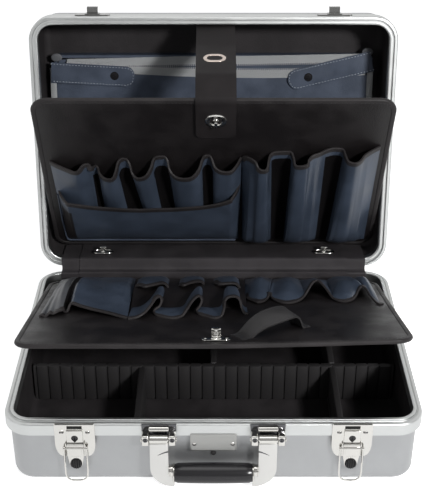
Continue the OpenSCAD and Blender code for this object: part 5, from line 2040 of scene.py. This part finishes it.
def right_bulge(u, v):
    x = RIGHT(u).x
    for a, b in zip(RIGHT_SEAMS, RIGHT_SEAMS[1:]):
        if a <= x <= b:
            k = max(0, math.sin(math.pi * (x - a) / (b - a))) ** 0.55
            open_ = 0.25 if a == 118 else 1.0
            return 12.5 * k * open_ * math.sin(math.pi * min(1, 0.1 + v * 0.92)) ** 0.8
    return 0


right = strip_between(straight_foot(43, 207, 11, 6), RIGHT, right_bulge, 1.4, 13.0)
pocket_row("short_pockets_strip", right, lower_piece, 190, 30)
print("short pockets", len(RIGHT_SEAMS) - 1)

# %% [markdown]
# ## White floor
#
# A case like this is shown on a white sweep. A plane does for it: it takes the soft shadow as
# paper does, and it is bright to the camera and half as bright in mirrors, so that it stays
# white without washing out the metal that reflects it.

# %% Floor
FLOOR_HALF = 6


def studio():
    bm = bmesh.new()
    bmesh.ops.create_grid(bm, x_segments=2, y_segments=2, size=FLOOR_HALF)
    me = bpy.data.meshes.new("floor")
    bm.to_mesh(me)
    bm.free()
    floor = bpy.data.objects.new("floor", me)
    floor.location = (0, 0, -0.0006)
    bpy.context.scene.collection.objects.link(floor)
    paint, tree, shader = material("white_floor", (0.84, 0.84, 0.84), 0.8)
    path = tree.nodes.new("ShaderNodeLightPath")
    shader.inputs["Emission Color"].default_value = (1, 1, 1, 1)
    mirrored = maths(tree, "MAXIMUM", path.outputs["Is Glossy Ray"],
                     path.outputs["Is Transmission Ray"])
    mirrored = maths(tree, "MULTIPLY", mirrored, 0.5)
    seen = maths(tree, "MULTIPLY_ADD", path.outputs["Is Camera Ray"], 0.78, mirrored)
    tree.links.new(seen, shader.inputs["Emission Strength"])
    me.materials.append(paint)


studio()
print("floor", 2 * FLOOR_HALF, "m wide")

# %% [markdown]
# ## White surroundings
#
# In a studio, polished metal mirrors white cards in front and dark room behind. The world does
# the same for mirrors and for the camera, and lights everything else only weakly, so that the
# lamps alone draw the shadows.

# %% World
def white_world():
    world = bpy.data.worlds.new("studio")
    bpy.context.scene.world = world
    world.use_nodes = True
    tree = world.node_tree
    tree.nodes.clear()
    out = tree.nodes.new("ShaderNodeOutputWorld")
    mix = tree.nodes.new("ShaderNodeMixShader")
    path = tree.nodes.new("ShaderNodeLightPath")
    lit, seen = tree.nodes.new("ShaderNodeBackground"), tree.nodes.new("ShaderNodeBackground")
    lit.inputs["Color"].default_value = (0.93, 0.96, 1.0, 1)
    lit.inputs["Strength"].default_value = 0.24
    seen.inputs["Color"].default_value = (1, 1, 1, 1)
    where = tree.nodes.new("ShaderNodeTexCoord")
    split = tree.nodes.new("ShaderNodeSeparateXYZ")
    tree.links.new(where.outputs["Generated"], split.inputs[0])
    behind = ramp(tree, split.outputs["Y"], -0.35, 0.25)
    level = maths(tree, "MULTIPLY_ADD", behind, 0.58, 0.42)
    level = maths(tree, "MAXIMUM", level, path.outputs["Is Camera Ray"])
    tree.links.new(level, seen.inputs["Strength"])
    seen_by = maths(tree, "MAXIMUM", path.outputs["Is Camera Ray"],
                    maths(tree, "MAXIMUM", path.outputs["Is Glossy Ray"],
                          path.outputs["Is Transmission Ray"]))
    tree.links.new(seen_by, mix.inputs["Fac"])
    tree.links.new(lit.outputs[0], mix.inputs[1])
    tree.links.new(seen.outputs[0], mix.inputs[2])
    tree.links.new(mix.outputs[0], out.inputs["Surface"])


white_world()
print("world", bpy.context.scene.world.name)

# %% [markdown]
# ## Camera
#
# The camera stands in front of the case, a little over a metre away, and looks down into it.
# A long lens keeps the upright edges nearly parallel.

# %% Camera
def front_camera():
    data = bpy.data.cameras.new("camera")
    data.sensor_width, data.lens = 36, 82.4
    data.shift_x = -0.003
    data.clip_start, data.clip_end = 0.05, 30
    ob = bpy.data.objects.new("camera", data)
    ob.location = (0, -1.178, 0.8705)
    ob.rotation_euler = (math.radians(90 - 28.72), 0, 0)
    bpy.context.scene.collection.objects.link(ob)
    bpy.context.scene.camera = ob


front_camera()
print("camera at", list(bpy.context.scene.camera.location))

# %% [markdown]
# ## Lamps
#
# One strong lamp in front on the right, whose shadows fall to the left and down, and two weak
# soft ones that keep the blacks from closing up. Area lamps are used because a real softbox
# has a size, and the size sets how soft a shadow's edge is.

# %% Lamps
def area_light(name, place, aim, size, power, colour=(1, 1, 1)):
    data = bpy.data.lights.new(name, "AREA")
    data.shape, data.size, data.size_y = "RECTANGLE", size[0], size[1]
    data.energy, data.color = power, colour
    ob = bpy.data.objects.new(name, data)
    ob.location = place
    ob.rotation_euler = (Vector(aim) - Vector(place)).to_track_quat("-Z", "Y").to_euler()
    bpy.context.scene.collection.objects.link(ob)
    return ob


area_light("key", (1.03, -1.62, 1.25), (0, -0.05, 0.12), (0.26, 0.26), 41)
area_light("fill", (-1.4, -0.9, 0.9), (0, 0, 0.15), (0.9, 0.9), 3)
area_light("top", (-0.2, -0.3, 2.1), (0, 0, 0.12), (1.2, 1.0), 7)

# %% [markdown]
# ## Finish
#
# The picture uses the Standard view transform.

# %% Finish
bpy.context.scene.view_settings.view_transform = "Standard"
